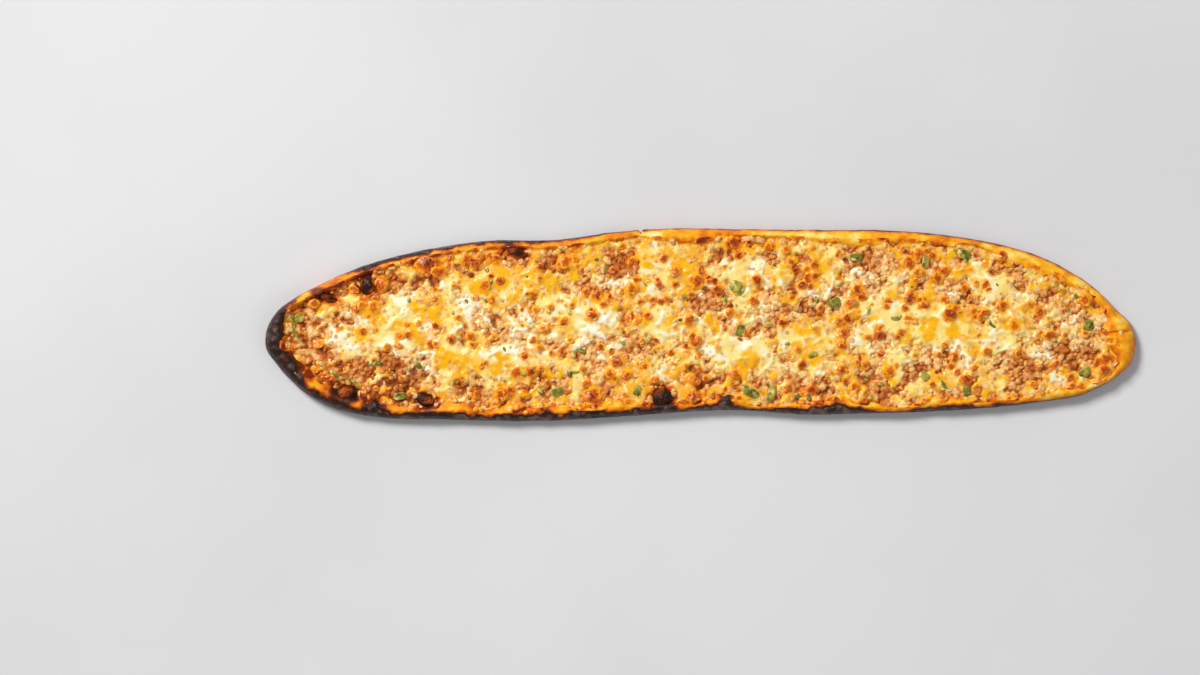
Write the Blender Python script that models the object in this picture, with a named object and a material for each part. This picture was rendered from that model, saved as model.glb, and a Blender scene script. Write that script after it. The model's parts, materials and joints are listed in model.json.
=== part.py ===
"""A long open pide: a boat of flat dough with a folded, scorched rim, filled with minced meat, diced
green pepper and melted cheese.

It lies along X with the blunt scorched end at -X and the folded golden tip at +X, flat on Z = 0.
Lengths below are millimetres; the meshes are made in metres.
"""

import math
import random

import bmesh
import bpy
import numpy as np
from mathutils import Matrix, Vector
from mathutils.geometry import delaunay_2d_cdt

MM = 0.001

# Driving sizes of the whole pide
LENGTH = 500.0
WIDTH = 111.0
BASE_THICKNESS = 3.5
RIM_HEIGHT = 9.8
SCORCHED_END_EXTRA = 3.0
FILLING_LEVEL = 7.4

# Heights of the layers in the boat, with the gaps between neighbours
GAP = 0.35
MEAT_BED_TOP = 6.0
CHEESE_BOTTOM = MEAT_BED_TOP + GAP
MEAT_SIDE_GAP = 2.3
CHEESE_SIDE_GAP = 1.25

# Mesh spacing, and how far the lattice of corners keeps off the edges
STATIONS = 116
CHEESE_SPACING = 7.0
MEAT_SPACING = 5.4
LATTICE_CLEARANCE = 1.6

# The rim's section: height of its belly, and how far in its crest lies, as a share of the width and a length
BELLY_HEIGHT = 3.0
CREST_SHARE = 0.42
CREST_OFFSET = 1.2

# The silhouette seen from above, anticlockwise from the folded tip
OUTLINE = [
    (250.0, -15.0), (247.0, 1.0), (239.5, 8.0), (228.5, 19.5), (217.0, 28.0), (199.5, 37.5),
    (177.0, 45.0), (148.5, 50.5), (114.0, 54.0), (68.0, 54.5), (22.5, 55.0), (-29.0, 55.0),
    (-51.5, 53.0), (-80.5, 49.0), (-126.0, 48.0), (-160.5, 42.5), (-191.5, 34.5), (-214.5, 25.0),
    (-231.5, 16.0), (-243.0, 7.5), (-249.0, -3.0), (-249.5, -14.0), (-243.0, -23.5), (-231.5, -36.0),
    (-211.5, -48.0), (-186.0, -53.5), (-149.0, -55.0), (-80.5, -55.5), (-34.5, -52.5), (19.5, -49.5),
    (57.0, -52.0), (97.0, -51.5), (148.5, -49.5), (191.0, -45.5), (219.5, -40.5), (239.0, -30.5),
    (247.0, -23.0),
]

# Width of the folded rim against X, on the +Y flank and on the -Y flank, as (x, width)
RIM_UPPER = [
    (-250, 14), (-243, 7), (-232, 6.5), (-212, 8.5), (-191, 6.5), (-172, 7.5), (-143, 6.5),
    (-92, 6), (-57, 6.5), (-36, 5.5), (-23, 9), (0, 11.5), (20, 5), (40, 5.5), (68, 8), (91, 11.5),
    (114, 8), (137, 8.5), (157, 4), (165, 7), (182, 12), (200, 12.5), (217, 8), (228, 6), (235, 7),
    (241, 11), (247, 19), (250, 21),
]
RIM_LOWER = [
    (-250, 14), (-243, 12.5), (-232, 13), (-212, 12), (-197, 10), (-172, 10), (-157, 8),
    (-143, 14), (-120, 8), (-103, 10.5), (-80, 11), (-57, 9), (-46, 14), (-32, 7), (-12, 7),
    (-3, 4), (8, 11), (22, 10), (32, 3.5), (40, 4), (57, 7.5), (77, 13), (91, 11.5), (108, 3.5),
    (117, 3.5), (134, 12), (148, 7.5), (171, 5), (191, 4.5), (206, 9), (220, 5.5), (234, 4.5),
    (239, 4.5), (243, 8), (247, 12), (250, 21),
]

# A knife nick in the +Y rim
NICK_X = -34.0
NICK_DEPTH = 4.0
NICK_HALF_WIDTH = 0.9

# The crease of the fold at the +X tip
CREASE_Y = -3.5
CREASE_DEPTH = 2.6
CREASE_NOTCH = 0.7
CREASE_HALF_WIDTH = 2.4

# Blown, scorched dough bubbles on the rim: (x, y, length, width, turn in degrees, top height)
BUBBLES = [
    (-214, 16, 16, 7, -24, 11.0),
    (-190.5, 22.5, 11, 14, 0, 11.8),
    (-203, -39, 16, 12, 8, 13.0),
    (-187, -47.2, 12, 10.5, 0, 12.0),
    (-157, -43.5, 14, 9, -6, 11.0),
    (-106, 41, 16, 8, -12, 11.2),
    (-22, -41.2, 14, 13, 0, 12.4),
]

BUBBLE_GAP = 0.9

# Where minced meat stands through the cheese: (x, y, half length, half width, turn in degrees)
MEAT_PATCHES = [
    (-224, -4, 9, 15, 8),
    (-203, 2, 9, 7, 0),
    (-172.5, 21.5, 9, 7.5, 20),
    (-168, -23, 18, 13, -20),
    (-143, -12, 12, 7, 10),
    (-118, 2, 17, 10, -12),
    (-103, -28, 9, 6, 0),
    (-126, -39, 9, 5, 0),
    (-79, 36, 10, 5.5, 8),
    (-74, -13, 16, 10, -18),
    (-46, 34, 10, 11, 30),
    (-47, -7, 10, 5, -10),
    (-58, -40, 7, 4, 0),
    (3, 11, 12, 8, 0),
    (8, 38, 6, 6, 0),
    (20, 46, 4, 4.5, 0),
    (37, 42, 8, 6, 0),
    (38, -1, 14, 7, 0),
    (0, -27, 11, 11, 20),
    (55, 30, 4, 10, -12),
    (70, 10, 13, 10, -10),
    (97, 35, 15, 8, -8),
    (102, -7, 6, 7, 30),
    (65, -36, 13, 5, 0),
    (108, -41, 6, 7, 0),
    (130, 41, 10, 5, 0),
    (146, 19, 11, 8, -20),
    (159, 38, 4.5, 7, 0),
    (124, -23, 9, 8, 0),
    (148, -38, 14, 5.5, 0),
    (184, 27, 15, 6.5, -38),
    (210.5, 9.5, 9, 9, 0),
    (188, -26, 13, 12, 10),
    (214, -14, 12, 13, -20),
]
PATCH_CORNERS = 12
SMALLEST_OPENING = 0.2
EDGE_STRIP = 1.3
MOUND_FOOT_GAP = 0.95
MOUND_WALL = 0.6
MOUND_TOP = 8.7
CROWDING_STEPS = 40
CROWDING_STEP = 0.04
CROWDING_LIMIT = 0.97

# Toasted bubbles of cheese: (x, y, radius, rise)
TOASTED_SPOTS = [
    (-199, -3, 3.2, 1.0), (-186, 11, 4.0, 1.3), (-154, 32, 6.0, 1.6), (-158, 7, 4.0, 0.9),
    (-129, 35, 3.6, 1.0), (-115, 25, 3.2, 1.0), (-95, 18, 3.6, 1.2), (-79, 1.5, 3.4, 1.2),
    (-94, -9, 3.2, 1.0), (-60, 17, 3.2, 1.0), (-63, 6, 3.6, 1.1), (-39, 22, 3.8, 1.0),
    (-47, -21, 4.0, 1.5), (-51, -30, 3.0, 1.0), (-42, -29, 3.0, 1.0), (-2, -9.5, 4.4, 1.3),
    (-7, 3.5, 3.0, 1.2), (17, 7, 3.6, 1.2), (9, 19, 3.6, 1.1), (31, 26, 3.4, 1.1),
    (47, 1, 3.2, 1.2), (58, 22, 3.0, 1.1), (65, 34, 3.8, 1.2), (82, -10, 4.4, 1.5),
    (91, 20, 4.4, 1.4), (120, 14, 4.0, 1.5), (142, 6, 4.6, 1.4), (127, 28, 3.8, 1.0),
    (163, -15, 3.2, 1.0), (162, 22, 2.8, 0.8), (174, 11, 3.0, 0.8), (152, -32, 3.6, 1.2),
    (145, -19, 3.2, 1.0), (184, -1, 4.0, 1.0),
]
BLISTER_FOOT_CORNERS = 5
BLISTER_CROWN_CORNERS = 3
BLISTER_CROWN = 0.55
BLISTER_ROUNDNESS = 0.88
BLISTER_EDGE_ROOM = 0.8
BLISTER_HOLE_ROOM = 0.4

# Pieces of green pepper: (x, y, length, width, turn in degrees)
PEPPERS = [
    (21, 21, 10.5, 7.5, -40), (28.5, -38.6, 12, 5.4, -30), (40.3, -39.2, 10.5, 4.6, 74),
    (-36.2, -38.0, 6.5, 4.6, 62), (150.5, 40.2, 9, 5.6, -18), (128, -29.5, 7, 5, -45),
    (221.5, -0.5, 7.5, 5.2, 62), (-82, -38.5, 8, 5.6, 18), (22.5, -3.5, 7.5, 5.6, 70),
    (76.5, 12.5, 8, 5.8, 30), (-229.6, 3.6, 6.2, 5.2, 15), (-172, -41, 8, 4.4, 8),
    (219.5, -27, 8, 4.8, 28), (128.5, 36, 8.5, 4, 85), (88.5, 38.5, 9, 4.6, 4),
]
PEPPER_WALL = 1.8
PEPPER_ARCH = 0.7
PEPPER_SEAT = 7.15
PEPPER_CLEARANCE = 1.4
PEPPER_RING_CORNERS = 8

# Meat crumbs fused on the mounds
CRUMBS = 56
CRUMB_RADII = (1.7, 2.7)
CRUMB_SHAPE = (1.15, 0.9, 0.8)
CRUMB_LIFT = 0.15
CRUMB_ROOM = 0.5
CRUMB_SPREAD = 1.9
CRUMB_SEED = 7


# Flat geometry shared by the pieces

def closed_curve(points, steps):
    """Points on a smooth closed curve through the given points, with tangents weighted by spacing."""
    points = np.array(points, float)
    ahead = np.roll(points, -1, axis=0) - points
    gap = np.linalg.norm(ahead, axis=1)
    slope = ahead / gap[:, None]
    back_gap = np.roll(gap, 1)
    back_slope = np.roll(slope, 1, axis=0)
    tangent = (slope * back_gap[:, None] + back_slope * gap[:, None]) / (gap + back_gap)[:, None]
    curve = []
    for i in range(len(points)):
        j = (i + 1) % len(points)
        for t in np.arange(steps) / steps:
            blend = t * t * (3 - 2 * t)
            start_pull = t * (1 - t) ** 2 * gap[i]
            end_pull = t * t * (1 - t) * gap[i]
            curve.append(
                points[i] * (1 - blend) + points[j] * blend
                + tangent[i] * start_pull - tangent[j] * end_pull
            )
    return np.array(curve)


def resample(curve, fractions):
    """Points at the given fractions of a closed curve's length."""
    closed = np.vstack([curve, curve[:1]])
    run = np.concatenate([[0], np.cumsum(np.linalg.norm(np.diff(closed, axis=0), axis=1))])
    at = np.array(fractions) * run[-1]
    return np.column_stack([np.interp(at, run, closed[:, k]) for k in (0, 1)])


def fitted(points):
    """Points centred on the origin and scaled to the pide's length and width."""
    low, high = points.min(axis=0), points.max(axis=0)
    return (points - (low + high) / 2) * np.array([LENGTH, WIDTH]) / (high - low)


def middle_line(x):
    """Y of the pide's slightly bowed middle at x."""
    return 1.5 - 12.0 * (x / (LENGTH / 2)) ** 2


def rim_stations():
    """Points round the silhouette, the way inwards at each, and the rim's width and height there."""
    curve = fitted(closed_curve(OUTLINE, steps=24))
    closed = np.vstack([curve, curve[:1]])
    run = np.concatenate([[0], np.cumsum(np.linalg.norm(np.diff(closed, axis=0), axis=1))])
    flank = np.flatnonzero(curve[:, 1] > 0)
    tip = np.flatnonzero(curve[:, 0] > 0)
    nick_at = run[flank[np.argmin(np.abs(curve[flank, 0] - NICK_X))]]
    crease_at = run[tip[np.argmin(np.abs(curve[tip, 1] - CREASE_Y))]]
    fractions = list(np.arange(STATIONS) / STATIONS)
    for middle, half_width in ((nick_at, NICK_HALF_WIDTH), (crease_at, CREASE_HALF_WIDTH)):
        fractions = [f for f in fractions if abs(f * run[-1] - middle) > 1.6 * half_width]
        fractions += [(middle + shift * half_width) / run[-1] % 1 for shift in (-1, 0, 1)]
    fractions.sort()
    at = fitted(resample(curve, fractions))
    reach = 1 - 0.15 * np.abs(at[:, 0] / (LENGTH / 2)) ** 3
    spine_x = at[:, 0] * reach
    spine = np.column_stack([spine_x, middle_line(spine_x)])
    inward = spine - at
    inward /= np.linalg.norm(inward, axis=1)[:, None]
    on_upper = at[:, 1] > middle_line(at[:, 0])
    width = np.where(
        on_upper,
        np.interp(at[:, 0], *zip(*RIM_UPPER)),
        np.interp(at[:, 0], *zip(*RIM_LOWER)),
    )
    scorched = np.clip((-at[:, 0] - 175) / 60, 0, 1)
    height = RIM_HEIGHT + SCORCHED_END_EXTRA * scorched + 0.12 * (width - 8)
    height += 0.5 * np.sin(at[:, 0] / 9.0) * np.sin(at[:, 0] / 23.0 + at[:, 1])
    nicked = on_upper & (np.abs(at[:, 0] - NICK_X) < 0.4 * NICK_HALF_WIDTH)
    creased = (at[:, 0] > 0) & (np.abs(at[:, 1] - CREASE_Y) < 0.4 * CREASE_HALF_WIDTH)
    height = np.where(creased, height - CREASE_DEPTH, height)
    cut = np.where(nicked, NICK_DEPTH, np.where(creased, CREASE_NOTCH, 0.0))
    return at, inward, width, height, cut


def rim_section(width, height, cut):
    """The rim's section, as (distance inwards, height) from the foot over the crest to the floor."""
    crest = CREST_SHARE * width + CREST_OFFSET
    section = [(1.5, 0.0), (0.35, 1.2)]
    for angle in np.radians([0, 24, 46, 68, 90]):
        rise = (height - BELLY_HEIGHT) * math.sin(angle)
        section.append((crest * (1 - math.cos(angle)), BELLY_HEIGHT + rise))
    drop = height - FILLING_LEVEL
    for share, fall in ((0.5, 0.2), (0.82, 0.62), (1.0, 1.0)):
        section.append((crest + share * (width - crest), height - fall * drop))
    section.append((width + 0.7, 5.6))
    section.append((width + 1.6, BASE_THICKNESS))
    return [(max(distance, cut), z) for distance, z in section]


def oval(x, y, half_length, half_width, turn, corners, grow=0.0, wave=0.0):
    """Corners of an oval about (x, y), with an uneven edge of the given wave, grown or shrunk by grow."""
    turn = math.radians(turn)
    points = []
    for angle in np.arange(corners) / corners * 2 * math.pi:
        radius = half_length * half_width / math.hypot(
            half_width * math.cos(angle), half_length * math.sin(angle)
        )
        uneven = math.sin(3 * angle + x) + 0.6 * math.sin(5 * angle + y)
        radius = radius * (1 + wave * uneven) + grow
        points.append((x + radius * math.cos(angle + turn), y + radius * math.sin(angle + turn)))
    return points


def inside(polygon, points):
    """Which points lie inside a polygon, by counting crossings."""
    start = np.array(polygon)[:, None]
    end = np.roll(start, -1, axis=0)
    points = np.atleast_2d(points)[None]
    crosses = (start[..., 1] > points[..., 1]) != (end[..., 1] > points[..., 1])
    rise = np.where(end[..., 1] == start[..., 1], 1.0, end[..., 1] - start[..., 1])
    at = start[..., 0] + (points[..., 1] - start[..., 1]) * (end[..., 0] - start[..., 0]) / rise
    return np.sum(crosses & (points[..., 0] < at), axis=0) % 2 == 1


def distance_to(polygon, points):
    """Distance from each point to the nearest edge of a polygon."""
    start = np.array(polygon)[:, None]
    along = np.roll(start, -1, axis=0) - start
    away = np.atleast_2d(points)[None] - start
    share = np.clip(np.sum(away * along, axis=2) / np.sum(along * along, axis=2), 0, 1)
    away = away - share[..., None] * along
    return np.sqrt(np.sum(away * away, axis=2)).min(axis=0)


def filled_points(polygon, spacing, clearance):
    """Points on a triangular lattice inside a polygon, kept off its edge by clearance."""
    low, high = np.min(polygon, axis=0), np.max(polygon, axis=0)
    points = []
    row_height = spacing * math.sqrt(3) / 2
    for row, y in enumerate(np.arange(low[1], high[1], row_height)):
        shift = spacing / 2 * (row % 2)
        points += [(x + shift, y) for x in np.arange(low[0], high[0], spacing)]
    points = np.array(points)
    keep = inside(polygon, points) & (distance_to(polygon, points) > clearance)
    return points[keep]


# Heights of the filling

def undulation(x, y):
    """Slow rise and fall of the filling's surface, in millimetres."""
    return 0.32 * math.sin(x / 17.0 + 0.6) * math.sin(y / 12.0 + 1.1) + 0.22 * math.sin(x / 7.3 + y / 9.1)


def pressed_under_pepper(x, y, height):
    """The height lowered to the pepper's seat where a piece of pepper lies."""
    for px, py, length, width, turn in PEPPERS:
        along = Vector((x - px, y - py)) @ Matrix.Rotation(math.radians(turn), 2)
        across = along.y / (width / 2 + PEPPER_CLEARANCE)
        if math.hypot(along.x / (length / 2 + PEPPER_CLEARANCE), across) < 1.25:
            return min(height, PEPPER_SEAT)
    return height


def pepper_loops():
    """Rings round the peppers' seats."""
    return [
        oval(x, y, length / 2 + PEPPER_CLEARANCE, width / 2 + PEPPER_CLEARANCE, turn, PEPPER_RING_CORNERS)
        for x, y, length, width, turn in PEPPERS
    ]


def cheese_height(x, y):
    """Top of the melted cheese."""
    ripple = 0.28 * math.sin(x / 2.9 + 1.7 * math.sin(y / 5.0)) * math.sin(y / 3.3 + 0.4)
    height = FILLING_LEVEL + 0.55 + undulation(x, y) + ripple
    return pressed_under_pepper(x, y, height)


def mound_height(x, y):
    """Top of the meat where it stands through the cheese, with bumps of the crumbs' size."""
    bump = 0.45 * math.sin(x * 1.05 + 0.8 * math.sin(y * 0.6)) * math.sin(y * 1.15 + 0.5)
    height = MOUND_TOP + undulation(x, y) + bump
    return pressed_under_pepper(x, y, height)


def patch_opening(patch, edge):
    """The opening in the cheese over a meat patch, kept within the cheese's edge."""
    loop = np.array(oval(*patch, corners=PATCH_CORNERS, wave=0.1))
    centre = np.mean(loop, axis=0)
    opening = []
    for corner in loop:
        for share in np.linspace(1.0, SMALLEST_OPENING, 21):
            spot = centre + (corner - centre) * share
            if inside(edge, spot)[0] and distance_to(edge, spot)[0] > EDGE_STRIP:
                break
        opening.append(spot)
    return np.array(opening)


def drawn_in(loop, inset):
    """An anticlockwise loop drawn in by inset, with corners that crowd its edge moved to its middle."""
    along = np.roll(loop, -1, axis=0) - np.roll(loop, 1, axis=0)
    along /= np.linalg.norm(along, axis=1)[:, None]
    drawn = loop + inset * np.column_stack([-along[:, 1], along[:, 0]])
    centre = np.mean(loop, axis=0)
    for _ in range(CROWDING_STEPS):
        crowded = distance_to(loop, drawn) < CROWDING_LIMIT * inset
        drawn[crowded] += CROWDING_STEP * (centre - drawn[crowded])
    return drawn


def bubble_loop(bubble, gap):
    """The edge of a dough bubble at the filling, widened by gap."""
    x, y, length, width, turn, _ = bubble
    return oval(x, y, length / 2, width / 2, turn, corners=12, grow=gap)


# Mesh helpers

def material(name, colour, roughness, metallic=0.0):
    """A plain material of the sub-part's own colour."""
    made = bpy.data.materials.new(name)
    made.use_nodes = True
    shader = made.node_tree.nodes["Principled BSDF"]
    shader.inputs["Base Color"].default_value = (*colour, 1)
    shader.inputs["Roughness"].default_value = roughness
    shader.inputs["Metallic"].default_value = metallic
    made.diffuse_color = (*colour, 1)
    return made


def new_object(name, mesh_builder, finish):
    """A linked object with the built mesh and its material."""
    mesh = bpy.data.meshes.new(name)
    mesh_builder.to_mesh(mesh)
    mesh_builder.free()
    mesh.materials.append(finish)
    made = bpy.data.objects.new(name, mesh)
    bpy.context.scene.collection.objects.link(made)
    return made


def layer(edge, holes, loops, points, top_height, bottom):
    """A closed layer within an edge: its top follows top_height, its underside is flat at bottom.

    holes go right through it, loops are lines that its top has to follow, points are extra places
    on its top.
    """
    flat = []
    joins = []
    for loop in [edge, *holes, *loops]:
        first = len(flat)
        flat += [Vector(p) for p in loop]
        joins += [(first + i, first + (i + 1) % len(loop)) for i in range(len(loop))]
    flat += [Vector(p) for p in points]
    places, _, faces, *_ = delaunay_2d_cdt(flat, joins, [], 0, 1e-4)
    centres = np.array([sum((places[i] for i in face), Vector((0, 0))) / len(face) for face in faces])
    keep = inside(edge, centres)
    for hole in holes:
        keep &= ~inside(hole, centres)
    built = bmesh.new()
    corners = [built.verts.new((p.x * MM, p.y * MM, top_height(p.x, p.y) * MM)) for p in places]
    for face, kept in zip(faces, keep):
        if kept:
            built.faces.new([corners[i] for i in face])
    drop_scraps(built)
    bmesh.ops.recalc_face_normals(built, faces=built.faces)
    if sum(face.normal.z for face in built.faces) < 0:
        bmesh.ops.reverse_faces(built, faces=built.faces)
    flat_part = bmesh.ops.extrude_face_region(
        built, geom=built.faces[:], use_keep_orig=True, use_normal_flip=True
    )["geom"]
    under = [item for item in flat_part if isinstance(item, bmesh.types.BMVert)]
    for corner in under:
        corner.co.z = bottom * MM
    bmesh.ops.recalc_face_normals(built, faces=built.faces)
    merge_flat_faces(built)
    return built


def drop_scraps(built):
    """Removes loose corners and every sheet of faces but the largest."""
    loose = [corner for corner in built.verts if not corner.link_faces]
    bmesh.ops.delete(built, geom=loose, context="VERTS")
    waiting = set(built.faces)
    sheets = []
    while waiting:
        sheet = {waiting.pop()}
        edge_of_sheet = list(sheet)
        while edge_of_sheet:
            face = edge_of_sheet.pop()
            for edge in face.edges:
                for other in edge.link_faces:
                    if other in waiting:
                        waiting.remove(other)
                        sheet.add(other)
                        edge_of_sheet.append(other)
        sheets.append(sheet)
    sheets.sort(key=lambda sheet: sum(face.calc_area() for face in sheet))
    scraps = [face for sheet in sheets[:-1] for face in sheet]
    bmesh.ops.delete(built, geom=scraps, context="FACES")


def merge_flat_faces(built):
    """Joins faces that lie in one plane, then splits what is left into triangles."""
    bmesh.ops.dissolve_limit(
        built, angle_limit=math.radians(0.2), verts=[], edges=built.edges[:]
    )
    bmesh.ops.triangulate(built, faces=built.faces[:])


def lump(radius, stretch, place, turn, detail, domed=False):
    """A rounded lump, or its upper half, as a loose object for joining to a larger solid."""
    built = bmesh.new()
    bmesh.ops.create_icosphere(built, subdivisions=detail, radius=radius * MM)
    if domed:
        cut = bmesh.ops.bisect_plane(
            built, geom=built.verts[:] + built.edges[:] + built.faces[:], dist=1e-7,
            plane_co=(0, 0, 0), plane_no=(0, 0, 1), clear_inner=True,
        )["geom_cut"]
        rim = [item for item in cut if isinstance(item, bmesh.types.BMEdge)]
        bmesh.ops.contextual_create(built, geom=rim)
        bmesh.ops.recalc_face_normals(built, faces=built.faces)
        bmesh.ops.triangulate(built, faces=built.faces[:])
    shape = Matrix.Translation(Vector(place) * MM) @ Matrix.Rotation(turn, 4, "Z") @ Matrix.Diagonal(
        (*stretch, 1)
    )
    bmesh.ops.transform(built, matrix=shape, verts=built.verts)
    mesh = bpy.data.meshes.new("lump")
    built.to_mesh(mesh)
    built.free()
    return bpy.data.objects.new("lump", mesh)


def fuse(body, lumps):
    """Joins the lumps to the body in one Boolean union and removes them."""
    collection = bpy.data.collections.new("lumps")
    bpy.context.scene.collection.children.link(collection)
    for piece in lumps:
        collection.objects.link(piece)
    join = body.modifiers.new("join", "BOOLEAN")
    join.operation = "UNION"
    join.operand_type = "COLLECTION"
    join.collection = collection
    join.solver = "EXACT"
    bpy.context.view_layer.objects.active = body
    bpy.ops.object.modifier_apply(modifier=join.name)
    for piece in lumps:
        bpy.data.objects.remove(piece)
    bpy.data.collections.remove(collection)


# The sub-parts

def make_dough():
    """The boat of dough: a flat base, a folded rim all round, a knife nick and scorched bubbles."""
    at, inward, width, height, cut = rim_stations()
    built = bmesh.new()
    rings = []
    for place, way, rim_width, rim_height, depth in zip(at, inward, width, height, cut):
        ring = []
        for distance, z in rim_section(rim_width, rim_height, depth):
            x, y = place + way * distance
            ring.append(built.verts.new((x * MM, y * MM, z * MM)))
        rings.append(ring)
    for ring, after in zip(rings, rings[1:] + rings[:1]):
        for k in range(len(ring) - 1):
            built.faces.new((ring[k], after[k], after[k + 1], ring[k + 1]))
    built.faces.new([ring[0] for ring in rings])
    built.faces.new([ring[-1] for ring in reversed(rings)])
    bmesh.ops.recalc_face_normals(built, faces=built.faces)
    bmesh.ops.triangulate(built, faces=built.faces[:])
    dough = new_object("dough_boat", built, material("baked_dough", (0.80, 0.47, 0.17), 0.7))
    bubbles = []
    for x, y, length, bubble_width, turn, top in BUBBLES:
        middle = BASE_THICKNESS - 1.0
        stretch = (length / 2, bubble_width / 2, top - middle)
        bubbles.append(lump(1.0, stretch, (x, y, middle), math.radians(turn), 2, domed=True))
    fuse(dough, bubbles)
    return dough


def inner_edge(gap):
    """The line round the filling, standing off the rim by gap."""
    at, inward, width, _, _ = rim_stations()
    return at + inward * (width + gap)[:, None]


def make_meat(openings):
    """The bed of minced meat, level under the cheese and lumpy where it stands through it."""
    edge = inner_edge(MEAT_SIDE_GAP)
    feet = [drawn_in(opening, MOUND_FOOT_GAP) for opening in openings]
    shoulders = [drawn_in(opening, MOUND_FOOT_GAP + MOUND_WALL) for opening in openings]
    raised = [drawn_in(opening, MOUND_FOOT_GAP + MOUND_WALL - 0.02) for opening in openings]

    def top(x, y):
        if any(inside(loop, (x, y))[0] for loop in raised):
            return mound_height(x, y)
        return MEAT_BED_TOP

    points = []
    for shoulder in shoulders:
        points += list(filled_points(shoulder, MEAT_SPACING, LATTICE_CLEARANCE))
    holes = [bubble_loop(bubble, BUBBLE_GAP) for bubble in BUBBLES]
    built = layer(edge, holes, feet + shoulders + pepper_loops(), points, top, BASE_THICKNESS + GAP)
    meat = new_object("minced_meat", built, material("minced_meat", (0.42, 0.22, 0.12), 0.6))
    fuse(meat, meat_crumbs(feet, edge))
    return meat


def clear_of_toppings(spot, room):
    """Whether a spot keeps the given room to every pepper and dough bubble."""
    return all(
        math.dist(spot, (x, y)) > math.hypot(length, width) / 2 + room
        for x, y, length, width, _ in PEPPERS
    ) and all(
        math.dist(spot, (x, y)) > max(length, width) / 2 + BUBBLE_GAP + room
        for x, y, length, width, *_ in BUBBLES
    )


def meat_crumbs(feet, edge):
    """Crumbs spread over the meat patches, clear of the cheese, the bubbles and the peppers."""
    draw = random.Random(CRUMB_SEED)
    spans = [np.ptp(foot, axis=0) for foot in feet]
    areas = [span[0] * span[1] for span in spans]
    crumbs = []
    placed = []
    while len(crumbs) < CRUMBS:
        foot = draw.choices(feet, areas)[0]
        low, high = foot.min(axis=0), foot.max(axis=0)
        spot = np.array([draw.uniform(low[0], high[0]), draw.uniform(low[1], high[1])])
        radius = draw.uniform(*CRUMB_RADII)
        turn = draw.uniform(0, math.pi)
        room = radius + CRUMB_ROOM
        if (
            all(inside(loop, spot)[0] and distance_to(loop, spot)[0] > room for loop in (foot, edge))
            and clear_of_toppings(spot, room)
            and all(math.dist(spot, other) > CRUMB_SPREAD * radius for other in placed)
        ):
            placed.append(spot)
            height = mound_height(*spot) + CRUMB_LIFT * radius
            crumbs.append(lump(radius, CRUMB_SHAPE, (*spot, height), turn, 1))
    return crumbs


def blister_fits(spot, radius, edge, holes):
    """Whether a blister of the cheese stays clear of its edge, its holes and the toppings."""
    return (
        clear_of_toppings(spot, radius + PEPPER_CLEARANCE)
        and distance_to(edge, spot)[0] > radius + BLISTER_EDGE_ROOM
        and not any(
            inside(hole, spot)[0] or distance_to(hole, spot)[0] < radius + BLISTER_HOLE_ROOM
            for hole in holes
        )
    )


def make_cheese(openings):
    """The sheet of melted cheese, open where the meat stands through, with toasted bubbles on it."""
    edge = inner_edge(CHEESE_SIDE_GAP)
    holes = openings + [bubble_loop(bubble, BUBBLE_GAP) for bubble in BUBBLES]
    points = filled_points(edge, CHEESE_SPACING, LATTICE_CLEARANCE)
    for hole in holes:
        points = points[~inside(hole, points) & (distance_to(hole, points) > LATTICE_CLEARANCE)]
    blister_corners = []
    rises = {}
    for x, y, radius, rise in TOASTED_SPOTS:
        if not blister_fits((x, y), radius, edge, holes):
            continue
        points = points[np.linalg.norm(points - (x, y), axis=1) > radius + 1.5]
        foot = oval(x, y, radius, radius * BLISTER_ROUNDNESS, x * 7, BLISTER_FOOT_CORNERS)
        crown_radius = radius * BLISTER_CROWN
        crown = oval(
            x, y, crown_radius, crown_radius * BLISTER_ROUNDNESS, x * 7 + 30, BLISTER_CROWN_CORNERS
        )
        blister_corners += foot + crown
        rises.update({(round(corner[0], 3), round(corner[1], 3)): rise for corner in crown})

    def top(x, y):
        return cheese_height(x, y) + rises.get((round(x, 3), round(y, 3)), 0.0)

    built = layer(edge, holes, pepper_loops(), [*points, *blister_corners], top, CHEESE_BOTTOM)
    return new_object("melted_cheese", built, material("melted_cheese", (0.93, 0.74, 0.38), 0.4))


def make_pepper(number, place):
    """One arched piece of pepper wall, lying on the filling."""
    x, y, length, width, turn = place
    built = bmesh.new()
    columns, rows = 5, 3
    faces_at = []
    for face_height in (0.0, PEPPER_WALL):
        grid = []
        for i in range(columns):
            along = i / (columns - 1) * 2 - 1
            line = []
            for j in range(rows):
                across = j / (rows - 1) * 2 - 1
                taper = 1 - 0.35 * along * along
                arch = PEPPER_ARCH * (1 - along * along) * (0.4 if face_height == 0 else 1)
                line.append(built.verts.new((
                    along * length / 2, across * width / 2 * taper, face_height + arch,
                )))
            grid.append(line)
        faces_at.append(grid)
    under, over = faces_at
    for i in range(columns - 1):
        for j in range(rows - 1):
            for grid in (under, over):
                built.faces.new((grid[i][j], grid[i + 1][j], grid[i + 1][j + 1], grid[i][j + 1]))
    border = [(i, 0) for i in range(columns)] + [(columns - 1, j) for j in range(1, rows)]
    border += [(i, rows - 1) for i in range(columns - 2, -1, -1)] + [(0, j) for j in range(rows - 2, 0, -1)]
    for (i, j), (k, m) in zip(border, border[1:] + border[:1]):
        built.faces.new((under[i][j], under[k][m], over[k][m], over[i][j]))
    bmesh.ops.recalc_face_normals(built, faces=built.faces)
    bmesh.ops.triangulate(built, faces=built.faces[:])
    bmesh.ops.scale(built, vec=(MM, MM, MM), verts=built.verts)
    pepper = new_object(f"pepper_{number:02d}", built, material("green_pepper", (0.22, 0.30, 0.06), 0.35))
    pepper.location = Vector((x, y, PEPPER_SEAT + GAP)) * MM
    pepper.rotation_euler.z = math.radians(turn)
    return pepper


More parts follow.
